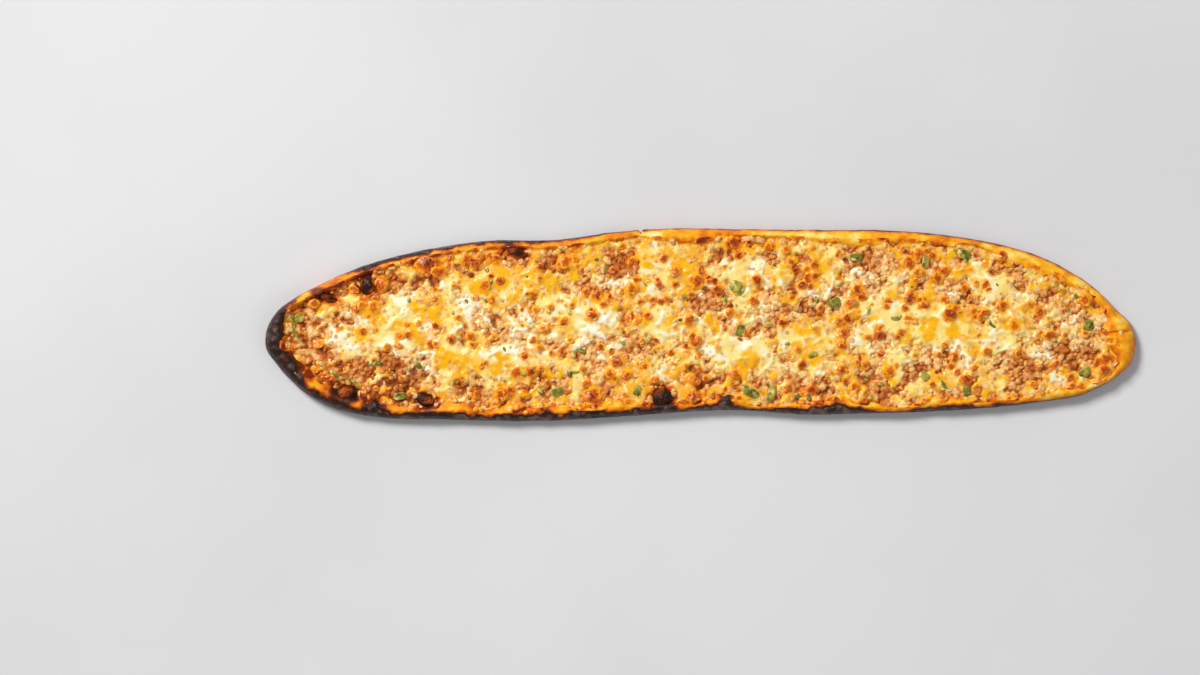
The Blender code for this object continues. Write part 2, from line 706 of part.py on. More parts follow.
def main():
    for leftover in list(bpy.data.objects):
        bpy.data.objects.remove(leftover)
    edge = inner_edge(CHEESE_SIDE_GAP)
    openings = [patch_opening(patch, edge) for patch in MEAT_PATCHES]
    make_dough()
    make_meat(openings)
    make_cheese(openings)
    for number, place in enumerate(PEPPERS, start=1):
        make_pepper(number, place)


main()
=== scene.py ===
"""A long open pide on a plain pale floor: scorched dough boat, minced meat, green pepper, melted cheese.

Places are in millimetres from the middle of the pide's base, X towards its folded tip and Z up. Blender's
own values, such as the settings, meshes and sizes in shaders, are in metres.
"""

import functools
import json
import math

import bpy
import numpy as np
from bpy.props import FloatProperty, FloatVectorProperty, IntProperty, PointerProperty
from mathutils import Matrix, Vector
from mathutils.bvhtree import BVHTree

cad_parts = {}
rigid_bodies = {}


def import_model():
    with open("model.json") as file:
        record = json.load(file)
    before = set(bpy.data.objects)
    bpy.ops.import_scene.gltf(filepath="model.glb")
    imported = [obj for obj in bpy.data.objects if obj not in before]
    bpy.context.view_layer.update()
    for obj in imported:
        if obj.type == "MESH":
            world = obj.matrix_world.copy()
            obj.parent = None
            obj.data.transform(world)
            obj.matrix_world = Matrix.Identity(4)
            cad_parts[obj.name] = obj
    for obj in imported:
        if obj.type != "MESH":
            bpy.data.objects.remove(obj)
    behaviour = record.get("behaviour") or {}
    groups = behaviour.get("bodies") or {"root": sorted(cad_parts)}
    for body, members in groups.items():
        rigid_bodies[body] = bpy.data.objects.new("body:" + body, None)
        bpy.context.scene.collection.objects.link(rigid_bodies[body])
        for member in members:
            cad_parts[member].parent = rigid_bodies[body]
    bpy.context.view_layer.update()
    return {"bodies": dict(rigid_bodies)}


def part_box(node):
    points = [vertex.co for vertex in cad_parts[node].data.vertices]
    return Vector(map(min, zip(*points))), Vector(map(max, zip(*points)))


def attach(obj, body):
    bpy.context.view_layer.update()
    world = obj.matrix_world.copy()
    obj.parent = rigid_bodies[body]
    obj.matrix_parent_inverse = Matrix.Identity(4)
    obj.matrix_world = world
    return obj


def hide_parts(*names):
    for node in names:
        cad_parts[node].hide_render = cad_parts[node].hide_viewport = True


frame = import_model()
BODY = next(iter(frame["bodies"]))

bl_info = {
    "name": "Cheese Pide",
    "version": (1, 0, 0),
    "blender": (4, 5, 0),
    "location": "3D View > Sidebar > Pide",
    "description": "Builds a long cheese and minced meat pide on a plain studio floor",
    "category": "Object",
}

MM = 0.001


def linear(red, green, blue):
    """Scene colour of a screen colour given from 0 to 255."""
    return tuple(
        c / 12.92 if c <= 0.04045 else ((c + 0.055) / 1.055) ** 2.4
        for c in (red / 255, green / 255, blue / 255)
    )


def box_mm(node):
    """Lowest and highest corner of a solid, in millimetres."""
    low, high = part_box(node)
    return np.array(low) / MM, np.array(high) / MM


DOUGH_LOW, DOUGH_HIGH = box_mm("dough_boat")
LENGTH, WIDTH, _ = DOUGH_HIGH - DOUGH_LOW
CHEESE_LOW, CHEESE_HIGH = box_mm("melted_cheese")

# Dough, as the solids have it
BASE_THICKNESS = 3.5
RIM_HEIGHT = 9.8
SCORCHED_END_EXTRA = 3.0
FILLING_LEVEL = 7.4
RIM_STATIONS = 1040

# The silhouette seen from above, anticlockwise from the folded tip
OUTLINE = [
    (250.0, -15.0), (247.0, 1.0), (239.5, 8.0), (228.5, 19.5), (217.0, 28.0), (199.5, 37.5),
    (177.0, 45.0), (148.5, 50.5), (114.0, 54.0), (68.0, 54.5), (22.5, 55.0), (-29.0, 55.0),
    (-51.5, 53.0), (-80.5, 49.0), (-126.0, 48.0), (-160.5, 42.5), (-191.5, 34.5), (-214.5, 25.0),
    (-231.5, 16.0), (-243.0, 7.5), (-249.0, -3.0), (-249.5, -14.0), (-243.0, -23.5), (-231.5, -36.0),
    (-211.5, -48.0), (-186.0, -53.5), (-149.0, -55.0), (-80.5, -55.5), (-34.5, -52.5), (19.5, -49.5),
    (57.0, -52.0), (97.0, -51.5), (148.5, -49.5), (191.0, -45.5), (219.5, -40.5), (239.0, -30.5),
    (247.0, -23.0),
]

# Along the two flanks, as (x, value): the rim's width
RIM_UPPER = [
    (-250, 14), (-243, 7), (-232, 6.5), (-212, 8.5), (-191, 6.5), (-172, 7.5), (-143, 6.5),
    (-92, 6), (-57, 6.5), (-36, 5.5), (-23, 9), (0, 11.5), (20, 5), (40, 5.5), (68, 8), (91, 11.5),
    (114, 8), (137, 8.5), (157, 4), (165, 7), (182, 12), (200, 12.5), (217, 8), (228, 6), (235, 7),
    (241, 11), (247, 19), (250, 21),
]
RIM_LOWER = [
    (-250, 14), (-243, 12.5), (-232, 13), (-212, 12), (-197, 10), (-172, 10), (-157, 8),
    (-143, 14), (-120, 8), (-103, 10.5), (-80, 11), (-57, 9), (-46, 14), (-32, 7), (-12, 7),
    (-3, 4), (8, 11), (22, 10), (32, 3.5), (40, 4), (57, 7.5), (77, 13), (91, 11.5), (108, 3.5),
    (117, 3.5), (134, 12), (148, 7.5), (171, 5), (191, 4.5), (206, 9), (220, 5.5), (234, 4.5),
    (239, 4.5), (243, 8), (247, 12), (250, 21),
]

# How far in from the outer edge the scorching reaches
CHAR_UPPER = [
    (-250, 9), (-243, 6), (-236, 3.0), (-230, 0.5), (-225, -1.2), (-206, -1.0), (-201, 1.5),
    (-186, 3.0), (-178, 1.8), (-160, 2.2), (-126, 2.0), (-110, 1.4), (-86, 0.6), (-45, 0.2),
    (-30, -0.8), (57, -0.8), (85, -0.2), (105, 0.0), (118, 0.1), (142, 0.5), (158, 0.3), (170, -0.2),
    (185, 0.0), (200, -0.6), (215, -2), (250, -3),
]
CHAR_LOWER = [
    (-250, 9), (-243, 9), (-237, 7), (-229, 4.5), (-217, 6.5), (-206, 8), (-197, 5), (-186, 8),
    (-176, 5), (-160, 6), (-126, 5), (-103, 4.5), (-93, 6), (-89, 9), (-84, 5), (-72, 7.5),
    (-65, 8.5), (-57, 10.5), (-51, 6.5), (-46, 5.2), (-35, 5.2), (-28, 8), (-18, 8), (-12, 3),
    (0, 3.5), (8, 6), (15.6, 11), (20, 6), (25, 3), (34, 1.5), (42, 4.2), (57, 6), (68, 6.5),
    (76.7, 10.5), (85, 6), (97, 3), (105, 0.8), (117, 0.6), (125, 3.4), (142, 4), (160, 2.7),
    (177, 1.8), (194, 0.6), (205, -1), (250, -2),
]

# How far the inner side of the rim is baked, from 0 for pale dough to 1 for black
TONE_UPPER = [
    (-250, 0.68), (-240, 0.62), (-233, 0.42), (-225, 0.3), (-218, 0.5), (-204, 0.42), (-196, 0.4),
    (-184, 0.35), (-176, 0.18), (-166, 0.15), (-158, 0.4), (-140, 0.25), (-118, 0.4), (-60, 0.38),
    (-40, 0.5), (-33, 0.12), (-25, 0.1), (-20, 0.38), (10, 0.42), (22, 0.5), (30, 0.25), (56, 0.22),
    (68, 0.2), (80, 0.3), (86, 0.24), (104, 0.28), (112, 0.36), (140, 0.42), (156, 0.46),
    (163, 0.22), (194, 0.18), (205, 0.25), (216, 0.3), (228, 0.3), (236, 0.38), (250, 0.37),
]
TONE_LOWER = [
    (-250, 0.68), (-238, 0.62), (-231, 0.46), (-224, 0.3), (-218, 0.45), (-213, 0.4), (-208, 0.6),
    (-197, 0.3), (-190, 0.6), (-180, 0.4), (-168, 0.32), (-160, 0.6), (-152, 0.35), (-143, 0.25),
    (-136, 0.4), (-126, 0.5), (-118, 0.32), (-100, 0.35), (-90, 0.6), (-80, 0.2), (-72, 0.4),
    (-62, 0.7), (-52, 0.3), (-40, 0.28), (-34, 0.6), (-15, 0.6), (-10, 0.4), (6, 0.38), (14, 0.7),
    (20, 0.5), (28, 0.3), (42, 0.22), (57, 0.2), (68, 0.35), (77, 0.55), (86, 0.28), (100, 0.3),
    (112, 0.42), (122, 0.3), (140, 0.22), (158, 0.15), (172, 0.38), (190, 0.42), (200, 0.22),
    (212, 0.25), (218, 0.3), (226, 0.15), (240, 0.3), (250, 0.37),
]

# A knife nick in the +Y rim, and the crease of the fold at the +X tip
NICK_X = -34.0
NICK_DEPTH = 4.0
NICK_HALF_WIDTH = 0.9
CREASE_Y = -3.5
CREASE_DEPTH = 2.6
CREASE_NOTCH = 0.7
CREASE_HALF_WIDTH = 2.4

# Blown, scorched dough bubbles: (x, y, length, width, turn in degrees, top height)
BUBBLES = [
    (-214, 16, 16, 7, -24, 11.0),
    (-190.5, 22.5, 11, 14, 0, 11.8),
    (-203, -39, 16, 12, 8, 13.0),
    (-187, -47.2, 12, 10.5, 0, 12.0),
    (-157, -43.5, 14, 9, -6, 11.0),
    (-106, 41, 16, 8, -12, 11.2),
    (-22, -41.2, 14, 13, 0, 12.4),
]

# How far each bubble is baked at its top and round its edge; the highest bakes reach the crust's lighter
# grey-browns, which are partly painted sheen
BUBBLE_BAKES = [
    (0.80, 0.68), (0.93, 0.66), (0.64, 0.9), (0.93, 0.86), (0.7, 0.84), (0.76, 0.62), (0.84, 0.72),
]

# Where the meat stands through the cheese: (x, y, half length, half width, turn in degrees)
MEAT_PATCHES = [
    (-224, -4, 9, 15, 8), (-203, 2, 9, 7, 0), (-172.5, 21.5, 9, 7.5, 20), (-172, -26, 15, 11, -20),
    (-196, -30, 9, 6, 0), (-116, 0, 8, 5, -12), (-104, 31, 9, 6, 0), (-85, -35, 9, 6, 0),
    (-103, -25, 6, 5, 0), (-126, -39, 9, 5, 0), (-64, 24, 9, 6, 0), (35, -36, 7, 5, 0),
    (-79, 36, 10, 5.5, 8), (-74, -13, 16, 10, -18), (-46, 34, 10, 11, 30), (-47, -7, 10, 5, -10),
    (-58, -40, 7, 4, 0), (3, 11, 12, 8, 0), (8, 38, 6, 6, 0), (20, 46, 4, 4.5, 0),
    (37, 42, 8, 6, 0), (38, -1, 14, 7, 0), (0, -27, 11, 11, 20), (55, 30, 4, 10, -12),
    (70, 10, 13, 10, -10), (97, 35, 15, 8, -8), (102, -7, 6, 7, 30), (65, -36, 13, 5, 0),
    (108, -41, 6, 7, 0), (130, 41, 10, 5, 0), (146, 19, 11, 8, -20), (159, 38, 4.5, 7, 0),
    (124, -23, 9, 8, 0), (148, -38, 14, 5.5, 0), (184, 27, 15, 6.5, -38), (210.5, 9.5, 9, 9, 0),
    (188, -26, 13, 12, 10), (214, -14, 12, 13, -20),
]

# Where the cheese lies thick, in the same form
CHEESE_POOLS = [
    (-200.5, -13, 10, 8, 0), (-166, 5, 33, 15, 5), (-129, -18, 30, 9, -4), (-106, 24, 26, 10, 0),
    (-69, 5, 20, 10, 8), (-22, 31, 15, 17, 0), (24, 27, 10, 12, 0), (74, 29, 6, 13, 0),
    (62, -12, 17, 11, 0), (122, 4, 28, 12, -6), (145, -6, 20, 10, 0), (162, 25, 12, 9, -10),
    (204, 30, 11, 4, -24), (20, -15, 20, 9, 0), (-23, 1, 11, 12, 0), (45, 29, 9, 9, 0),
    (103, 10, 12, 9, 0), (170, -8, 10, 10, 0), (-196, 12, 8, 7, 0), (112, -22, 6, 8, 0),
]

# Milky white places in the cheese: (x, y, radius)
MILKY_PLACES = [
    (-200, -14, 8), (-146, -1, 8), (-152, -8, 6), (-116, -16, 7), (-92, -24, 5), (-88, -3, 7),
    (-61, 0, 6), (-54, 3, 6), (-50, -15, 5), (-28, 27, 6), (-14, 36, 6), (-30, 45, 6), (4, -18, 6),
    (9, 45, 4), (44, 25, 6), (30, 34, 7), (17, 37, 5), (48, -12, 5), (68, 30, 6), (105, 5, 6),
    (113, 10, 7), (99, -16, 6), (144, 41, 4), (204, -36, 7), (228, -1, 4), (180, -23, 4),
    (198, 31, 6), (141, -13, 4), (-170, 14, 7), (-128, 26, 5), (162, 28, 6), (128, -30, 5),
    (-152, -3, 13), (-131, 9, 11), (-102, -11, 13), (-63, -9, 11), (-160, -23, 9), (-196, 2, 8),
    (-209, -9, 7), (-45, 29, 8), (-26, 23, 9), (-20, -8, 8), (-25, -29, 6), (17, 1, 8), (38, 40, 8),
    (25, -10, 8), (66, 15, 10), (92, 30, 7), (92, -13, 11), (110, 15, 7), (127, -15, 11),
    (141, 19, 9), (152, -23, 8), (199, -16, 8), (213, -10, 8), (232, 0, 6), (-175, -10, 8),
]

# Pools of golden fat on the cheese: (x, y, radius)
FAT_PLACES = [
    (-155, 7, 9), (-143, -19, 7), (-89, -27, 8), (-115, -21, 6), (-56, 17, 8), (-46, 10, 7),
    (-36, 4, 6), (51, 11, 9), (128, 22, 10), (149, 8, 8), (-230, 14, 7), (-190, 10, 7), (-60, 43, 8),
    (-6, 20, 8), (65, 30, 7), (90, -35, 9), (144, 43, 7), (128, -3, 7), (117, -6, 5), (181, 0, 7),
    (219, 14, 6), (-123, 22, 7), (-40, 21, 6), (-38, -25, 6), (24, -30, 6), (106, -30, 5),
    (-97, 33, 8), (-108, 18, 7), (-66, 33, 8), (-83, 25, 7), (-186, -29, 7), (-84, -38, 7),
    (-56, -42, 7), (35, -38, 8), (61, -20, 7), (80, -38, 6), (131, 13, 7), (147, -6, 6),
    (188, 22, 6), (108, 38, 7), (-28, 34, 5), (-8, 31, 6), (76, 5, 6), (8, 2, 5), (20, 44, 7),
    (-104, -42, 6), (-163, -5, 5), (-129, 40, 6), (62, 2, 6), (190, -2, 5), (-187, 3, 5),
]

# Toasted bubbles of cheese: (x, y, radius, darkness)
TOASTED_SPOTS = [
    (-187, 10, 3.6, 0.6), (-193.5, 11, 3, 0.55), (-172, -6.5, 3, 0.55), (-123, 23, 4, 0.55),
    (-115, 25, 2.6, 0.8), (-96, 17.5, 2.8, 0.6), (-96, -9, 2.6, 0.6), (-122, -10.5, 1.8, 0.6),
    (-130.5, -11.5, 2, 0.6), (-59, 17, 2.8, 0.85), (-62, 5, 3.4, 0.8), (-78.5, 1, 2.8, 0.65),
    (-48, -20.5, 3.6, 0.9), (-52, -28.5, 3, 0.7), (-42.5, -29, 2.8, 0.7), (-65.5, -34, 2.8, 0.65),
    (-39.5, 21, 4, 0.6), (-34.5, 13, 2, 0.75), (-74, 11, 2, 0.6), (-55.5, 11.5, 2.2, 0.7),
    (-2.5, -10, 3.6, 0.75), (-6.5, 2.5, 3.6, 0.7), (10.5, 18, 2.6, 0.9), (32, 25.5, 3.2, 0.8),
    (47, 1, 2.6, 0.9), (19.5, -28.5, 3, 0.7), (65, 34, 2.6, 0.7), (65.5, 28, 2.8, 0.7),
    (58, 22.5, 2.6, 0.9), (81.5, -5, 3.2, 0.75), (81, -12, 3, 0.85), (89.5, 20, 3.2, 0.8),
    (92, 16, 2.4, 0.85), (106, 10.5, 2.2, 0.7), (119.5, 15, 3.6, 0.85), (127.5, 11, 3.2, 0.7),
    (142.5, 6, 4.2, 0.85), (139.5, -11.5, 2.4, 0.65), (145.5, -18.5, 3, 0.7), (151.5, -31.5, 3.4, 0.85),
    (163.5, -15.5, 2.8, 0.65), (151, 20.5, 2.6, 0.7), (162.5, 23, 2.6, 0.65), (172.5, 11, 2.8, 0.7),
    (188, 11.5, 2.4, 0.6), (180.5, -0.5, 4.2, 0.5), (156.5, -25, 2.8, 0.65), (219.5, 14, 3.8, 0.6),
    (180.5, 35, 2.6, 0.85), (-21, 38, 2.4, 0.75), (-14.5, 30, 3.4, 0.65), (-71, 46, 3.4, 0.9),
    (19, 46.5, 4, 0.85), (-156, 35, 5.5, 0.9), (-150.5, 30, 4, 0.65), (-143.5, 39, 2.5, 0.7),
    (-129, 35, 3.2, 0.85), (-116.5, 38, 3, 0.65), (-77.5, 35.5, 4, 0.65), (-49, 30, 3, 0.85),
    (-39.5, 35.5, 3.4, 0.65), (-2, 25, 4.2, 0.7), (8, 24.5, 2.2, 0.9), (16.5, 6.5, 3, 0.65),
    (0, 30, 2.4, 0.8), (39, 44, 3, 0.7), (54, 31, 2.4, 0.9), (68, 5.5, 2.4, 0.85), (85.5, 12.5, 3.4, 0.65),
    (84, 3.5, 3, 0.75), (102.5, -6, 3, 0.85), (94, -23, 2.8, 0.65), (108, -27, 3, 0.75),
    (64, -37, 2.8, 0.9), (49.5, -36.5, 2.4, 0.7), (-4.5, -41.5, 3.2, 0.75), (-109, -37.5, 3, 0.7),
    (-114.5, -39.5, 2.8, 0.75), (-62, -41, 4.4, 0.85), (-96.5, -27, 3.6, 0.85), (-105, -27.5, 3.4, 0.75),
    (114.5, -4.5, 2.4, 0.65), (135, 27, 3.4, 0.7), (124, 29.5, 3, 0.6), (139.5, 31, 3, 0.65),
    (172.5, 39.5, 3.4, 0.8), (194, 7, 3, 0.75), (199.5, -6, 3.4, 0.75), (212.5, -35.5, 2.8, 0.65),
    (232.5, -20, 4.4, 0.75), (231, -26, 4, 0.75), (-217, 22, 4, 0.75), (-207, 24, 3.5, 0.7),
    (-221, 12, 3.4, 0.65), (-198, 20, 3, 0.7), (-183, 23, 4, 0.7), (-213, -31, 4, 0.8),
]

# Pieces of green pepper: (x, y, length, width, turn in degrees)
PEPPERS = [
    (21, 21, 10.5, 7.5, -40), (28.5, -38.6, 12, 5.4, -30), (40.3, -39.2, 10.5, 4.6, 74),
    (-36.2, -38.0, 6.5, 4.6, 62), (150.5, 40.2, 9, 5.6, -18), (128, -29.5, 7, 5, -45),
    (221.5, -0.5, 7.5, 5.2, 62), (-82, -38.5, 8, 5.6, 18), (22.5, -3.5, 7.5, 5.6, 70),
    (76.5, 12.5, 8, 5.8, 30), (-229.6, 3.6, 6.2, 5.2, 15), (-172, -41, 8, 4.4, 8),
    (219.5, -27, 8, 4.8, 28), (128.5, 36, 8.5, 4, 85), (88.5, 38.5, 9, 4.6, 4),
]

# Smaller bits of pepper that show: (x, y, radius)
PEPPER_BITS = [
    (-165, -21, 1.8), (-161, -24, 2.0), (-122, 31, 1.8), (-101, -28, 1.6), (-87, 8, 1.5),
    (-73, -17, 1.8), (-68, -15, 2.0), (-31, -9, 2.4), (-44, -11, 1.6), (56, -41, 1.8),
    (215, 16, 1.7), (62, -42, 1.7), (-75, -28, 1.8), (39, 0, 2.2), (66, 14, 1.6), (-113, 14, 1.4),
    (180, 22, 1.6), (190, -2, 1.6), (95, -31, 1.8), (103, -34, 1.5), (-54, 29, 1.5), (202, -9, 1.4),
    (-92, -38, 1.8), (-12, -20, 1.4), (152, -38.5, 2.8), (64, -17.5, 2.4), (152, 36, 1.6),
]

# Thin strips of pepper: (x, y, length, width, turn in degrees, bend in degrees)
PEPPER_STRIPS = [
    (-231, -5, 21, 2.3, -70, 40), (-208, -29, 13, 2.4, -35, 30), (-199, -33, 11, 2.2, -28, -35),
    (-186, -22, 9, 2.6, 20, 30), (-73, -27, 8, 2.3, -10, 40), (-55, 31, 6, 2.0, 50, 30),
    (14, 14, 6.5, 2.2, 80, 20), (112, 4, 7, 2.8, 10, 50), (140, -35.5, 9, 2.5, -50, 30),
    (165, 2, 11, 2.2, -55, 25), (232, -17, 7, 2.2, 60, 30), (-121, 24, 6, 2.2, 25, 60),
    (206, 20, 7, 2.2, -30, 40), (96, 8, 6, 2.0, 70, 30),
]

# The filling's even grid, and how far apart the corners of the cheese and of the meat bed lie
FIELD_HALF_LENGTH = 245
FIELD_HALF_WIDTH = 55
FIELD_STEP = 0.5
SHEET_STEP = 0.72
BED_STEP = 0.8

# Height of the edges of the cheese sheet and of the meat bed, which are hidden in the dough
HIDDEN_SHEET_EDGE = 6.6
HIDDEN_BED_EDGE = 6.0

# Crumbs of meat: their spacing, the radius from which they are coarse, and the share that lies loose
CRUMB_PITCH = 2.8
COARSE_CRUMB = 1.72
LOOSE_SHARE = 0.42
CRUMB_SEED = 11

# Strands, small toasted spots and freckles of the cheese, and where they are drawn
STRANDS = 360
STRAND_X = (-238, 238)
STRAND_SEED = 5
SMALL_SPOTS = 480
SPOT_X = (-238, 240)
SPOT_SEED = 23
FILLING_Y = (-48, 50)
FRECKLE_PITCH = 2.6

# The picture: its width and the pide's length in it in pixels, and the place under its middle
PICTURE_PIXELS = 1200
PIDE_PIXELS = 875
PICTURE_MIDDLE = (-57.6, -7.4)
SENSOR_WIDTH = 36
LIGHT_TINT = (1.0, 0.97, 0.92)

# The floor: half its width, and its height just under the pide
FLOOR_HALF = 4000
FLOOR_TOP = -0.05


# Properties that a user would change

def colour_setting(name, description, red, green, blue):
    """A colour that the user can change, with its default as a screen colour from 0 to 255."""
    return FloatVectorProperty(
        name=name, description=description, default=linear(red, green, blue), subtype="COLOR",
    )


class PideCrustSettings(bpy.types.PropertyGroup):
    wrinkle: FloatProperty(
        name="Wrinkles", description="Depth of the wrinkles in the baked rim",
        default=0.55 * MM, unit="LENGTH",
    )
    pale: colour_setting("Pale dough", "Colour of dough that hardly browned", 255, 230, 168)
    golden: colour_setting("Golden dough", "Colour of golden, egg-washed dough", 244, 144, 2)
    brown: colour_setting("Brown dough", "Colour of well-baked dough", 136, 60, 14)
    char: colour_setting("Scorched dough", "Colour of blackened dough", 36, 19, 13)


class PideFillingSettings(bpy.types.PropertyGroup):
    level: FloatProperty(
        name="Meat level", description="Height of the meat bed over the floor",
        default=(CHEESE_LOW[2] + 0.4) * MM, unit="LENGTH",
    )
    seed: IntProperty(name="Seed", description="Seed of the crumbs' random places", default=CRUMB_SEED)
    cheese: colour_setting("Cheese", "Colour of the melted cheese", 255, 228, 138)
    # The milky colour also serves as painted light on the cheese's raised parts, and the golden fat colour
    # as painted shade in its hollows
    milky_and_lit: colour_setting("Milky cheese", "Colour of the whitest cheese", 255, 250, 222)
    fat_and_shade: colour_setting("Golden fat", "Colour of the fat that pools on the cheese", 252, 184, 14)
    toast: colour_setting("Toasted cheese", "Colour of the browned bubbles of cheese", 216, 104, 8)
    meat: colour_setting("Meat", "Middle colour of the cooked meat crumbs", 220, 142, 62)
    cheese_film: colour_setting(
        "Cheese film", "Colour of the thin cheese that clings to the meat", 255, 214, 138,
    )
    pepper: colour_setting("Pepper skin", "Colour of the cooked pepper's skin", 134, 132, 40)


class PideStageSettings(bpy.types.PropertyGroup):
    floor: colour_setting("Floor", "Colour of the plain floor", 220, 222, 227)
    key_power: FloatProperty(
        name="Key light", description="Power of the soft main light", default=138.0, unit="POWER",
    )
    fill: FloatProperty(
        name="Fill light", description="Brightness of the even light all round", default=0.27,
    )
    camera_height: FloatProperty(
        name="Camera height", description="Height of the camera over the pide",
        default=1.62, unit="LENGTH",
    )


# Curves, noise and soft masks

def smoothstep(low, high, value):
    """0 below low, 1 above high, and an even rise between."""
    share = np.clip((value - low) / (high - low), 0, 1)
    return share * share * (3 - 2 * share)


def along(table, x):
    """The value at x of a table of (x, value)."""
    return np.interp(x, *zip(*table))


def noise(x, y, size, seed):
    """Even noise from -1 to 1, with bumps about size across."""
    side = 128
    knots = np.random.default_rng(seed).uniform(-1, 1, (side, side))
    u, v = np.asarray(x) / size, np.asarray(y) / size
    i, j = np.floor(u).astype(int), np.floor(v).astype(int)
    u, v = u - i, v - j
    u, v = u * u * (3 - 2 * u), v * v * (3 - 2 * v)
    i, j = i % side, j % side
    i2, j2 = (i + 1) % side, (j + 1) % side
    low = knots[i, j] * (1 - u) + knots[i2, j] * u
    high = knots[i, j2] * (1 - u) + knots[i2, j2] * u
    return low * (1 - v) + high * v


def fractal(x, y, size, seed, octaves=3):
    """Noise with finer noise laid over it, roughly from -1 to 1."""
    total, weight = 0, 1.0
    for octave in range(octaves):
        turn = 0.6 + octave
        turned_x = x * math.cos(turn) - y * math.sin(turn)
        turned_y = x * math.sin(turn) + y * math.cos(turn)
        total = total + weight * noise(turned_x, turned_y, size, seed + octave)
        weight *= 0.55
        size *= 0.47
    return total * 0.75


def closed_curve(points, steps):
    """Points on a smooth closed curve through the given points, with tangents weighted by spacing."""
    points = np.array(points, float)
    ahead = np.roll(points, -1, axis=0) - points
    gap = np.linalg.norm(ahead, axis=1)
    slope = ahead / gap[:, None]
    back_gap = np.roll(gap, 1)
    tangent = slope * back_gap[:, None] + np.roll(slope, 1, axis=0) * gap[:, None]
    tangent /= (gap + back_gap)[:, None]
    t = (np.arange(steps) / steps)[None, :, None]
    start, end = points[:, None], np.roll(points, -1, axis=0)[:, None]
    pull, end_pull = tangent[:, None], np.roll(tangent, -1, axis=0)[:, None]
    span = gap[:, None, None]
    blend = t * t * (3 - 2 * t)
    curve = start * (1 - blend) + end * blend
    curve = curve + pull * span * t * (1 - t) ** 2 - end_pull * span * t * t * (1 - t)
    return curve.reshape(-1, 2)


def smooth_rows(control, steps):
    """Points on smooth curves through an array of control points, along its second axis."""
    before = np.concatenate([control[:, :1], control[:, :-1]], axis=1)[:, :-1]
    start, end = control[:, :-1], control[:, 1:]
    after = np.concatenate([control[:, 2:], control[:, -1:]], axis=1)
    t = (np.arange(steps) / steps)[None, None, :, None]
    start, end = start[:, :, None], end[:, :, None]
    leave, arrive = (end - before[:, :, None]) / 2, (after[:, :, None] - start) / 2
    rows = start * (1 + 2 * t) * (1 - t) ** 2 + end * t * t * (3 - 2 * t)
    rows = rows + leave * t * (1 - t) ** 2 - arrive * t * t * (1 - t)
    rows = rows.reshape(control.shape[0], -1, control.shape[2])
    return np.concatenate([rows, control[:, -1:]], axis=1)


def oval_distance(x, y, oval):
    """Distance from an oval's middle, 1 at its edge. The oval is (x, y, half length, half width, turn)."""
    middle_x, middle_y, half_length, half_width, turn = oval
    cosine, sine = math.cos(math.radians(turn)), math.sin(math.radians(turn))
    off_x, off_y = x - middle_x, y - middle_y
    across = (off_y * cosine - off_x * sine) / half_width
    return np.hypot((off_x * cosine + off_y * sine) / half_length, across)


def turned(x, y, along_form, across, turn):
    """X and y of corners that lie along and across a form at (x, y), turned by turn degrees."""
    cosine, sine = math.cos(math.radians(turn)), math.sin(math.radians(turn))
    return x + along_form * cosine - across * sine, y + along_form * sine + across * cosine


def oval_of(place):
    """The oval of a bubble or a piece of pepper, whose place starts (x, y, length, width, turn)."""
    x, y, length, width, turn = place[:5]
    return x, y, length / 2, width / 2, turn


def burnt_half(x):
    """0 over most of the pide, 1 at its scorched end."""
    return smoothstep(-110, -190, x)


def blur(field, radius):
    """The field softened by a bell of the given radius in cells."""
    reach = int(3 * radius)
    bell = np.exp(-0.5 * (np.arange(-reach, reach + 1) / radius) ** 2)
    bell /= bell.sum()
    for axis in (0, 1):
        padding = [(reach, reach) if k == axis else (0, 0) for k in (0, 1)]
        padded = np.pad(field, padding, mode="edge")
        length = field.shape[axis]
        field = sum(
            share * np.take(padded, np.arange(k, k + length), axis=axis) for k, share in enumerate(bell)
        )
    return field


# The rim

def middle_line(x):
    """Y of the pide's slightly bowed middle at x."""
    return 1.5 - 12.0 * (x / (LENGTH / 2)) ** 2


def crest_distance(width):
    """How far in from the outer edge the rim's crest lies."""
    return 0.42 * width + 1.2


@functools.lru_cache(maxsize=None)
def rim_stations():
    """Points round the silhouette, the way inwards at each, and the rim's measures there."""
    curve = closed_curve(OUTLINE, steps=60)
    low, high = curve.min(axis=0), curve.max(axis=0)
    curve = (curve - (low + high) / 2) * np.array([LENGTH, WIDTH]) / (high - low)
    closed = np.vstack([curve, curve[:1]])
    run = np.concatenate([[0], np.cumsum(np.linalg.norm(np.diff(closed, axis=0), axis=1))])
    places = np.arange(RIM_STATIONS) / RIM_STATIONS * run[-1]
    at = np.column_stack([np.interp(places, run, closed[:, k]) for k in (0, 1)])
    spine_x = at[:, 0] * (1 - 0.15 * np.abs(at[:, 0] / (LENGTH / 2)) ** 3)
    spine = np.column_stack([spine_x, middle_line(spine_x)])
    inward = spine - at
    inward /= np.linalg.norm(inward, axis=1)[:, None]
    upper = at[:, 1] > middle_line(at[:, 0])
    width = np.where(upper, along(RIM_UPPER, at[:, 0]), along(RIM_LOWER, at[:, 0]))
    scorched = np.clip((-at[:, 0] - 175) / 60, 0, 1)
    height = RIM_HEIGHT + SCORCHED_END_EXTRA * scorched + 0.12 * (width - 8)
    height += 0.5 * np.sin(at[:, 0] / 9.0) * np.sin(at[:, 0] / 23.0 + at[:, 1])
    crease = np.exp(-((at[:, 1] - CREASE_Y) / (0.45 * CREASE_HALF_WIDTH)) ** 2) * (at[:, 0] > 0)
    height -= CREASE_DEPTH * crease
    nick = np.clip(1 - np.abs(at[:, 0] - NICK_X) / NICK_HALF_WIDTH, 0, 1) * upper
    cut = NICK_DEPTH * nick + CREASE_NOTCH * crease
    return at, inward, width, height, cut, upper


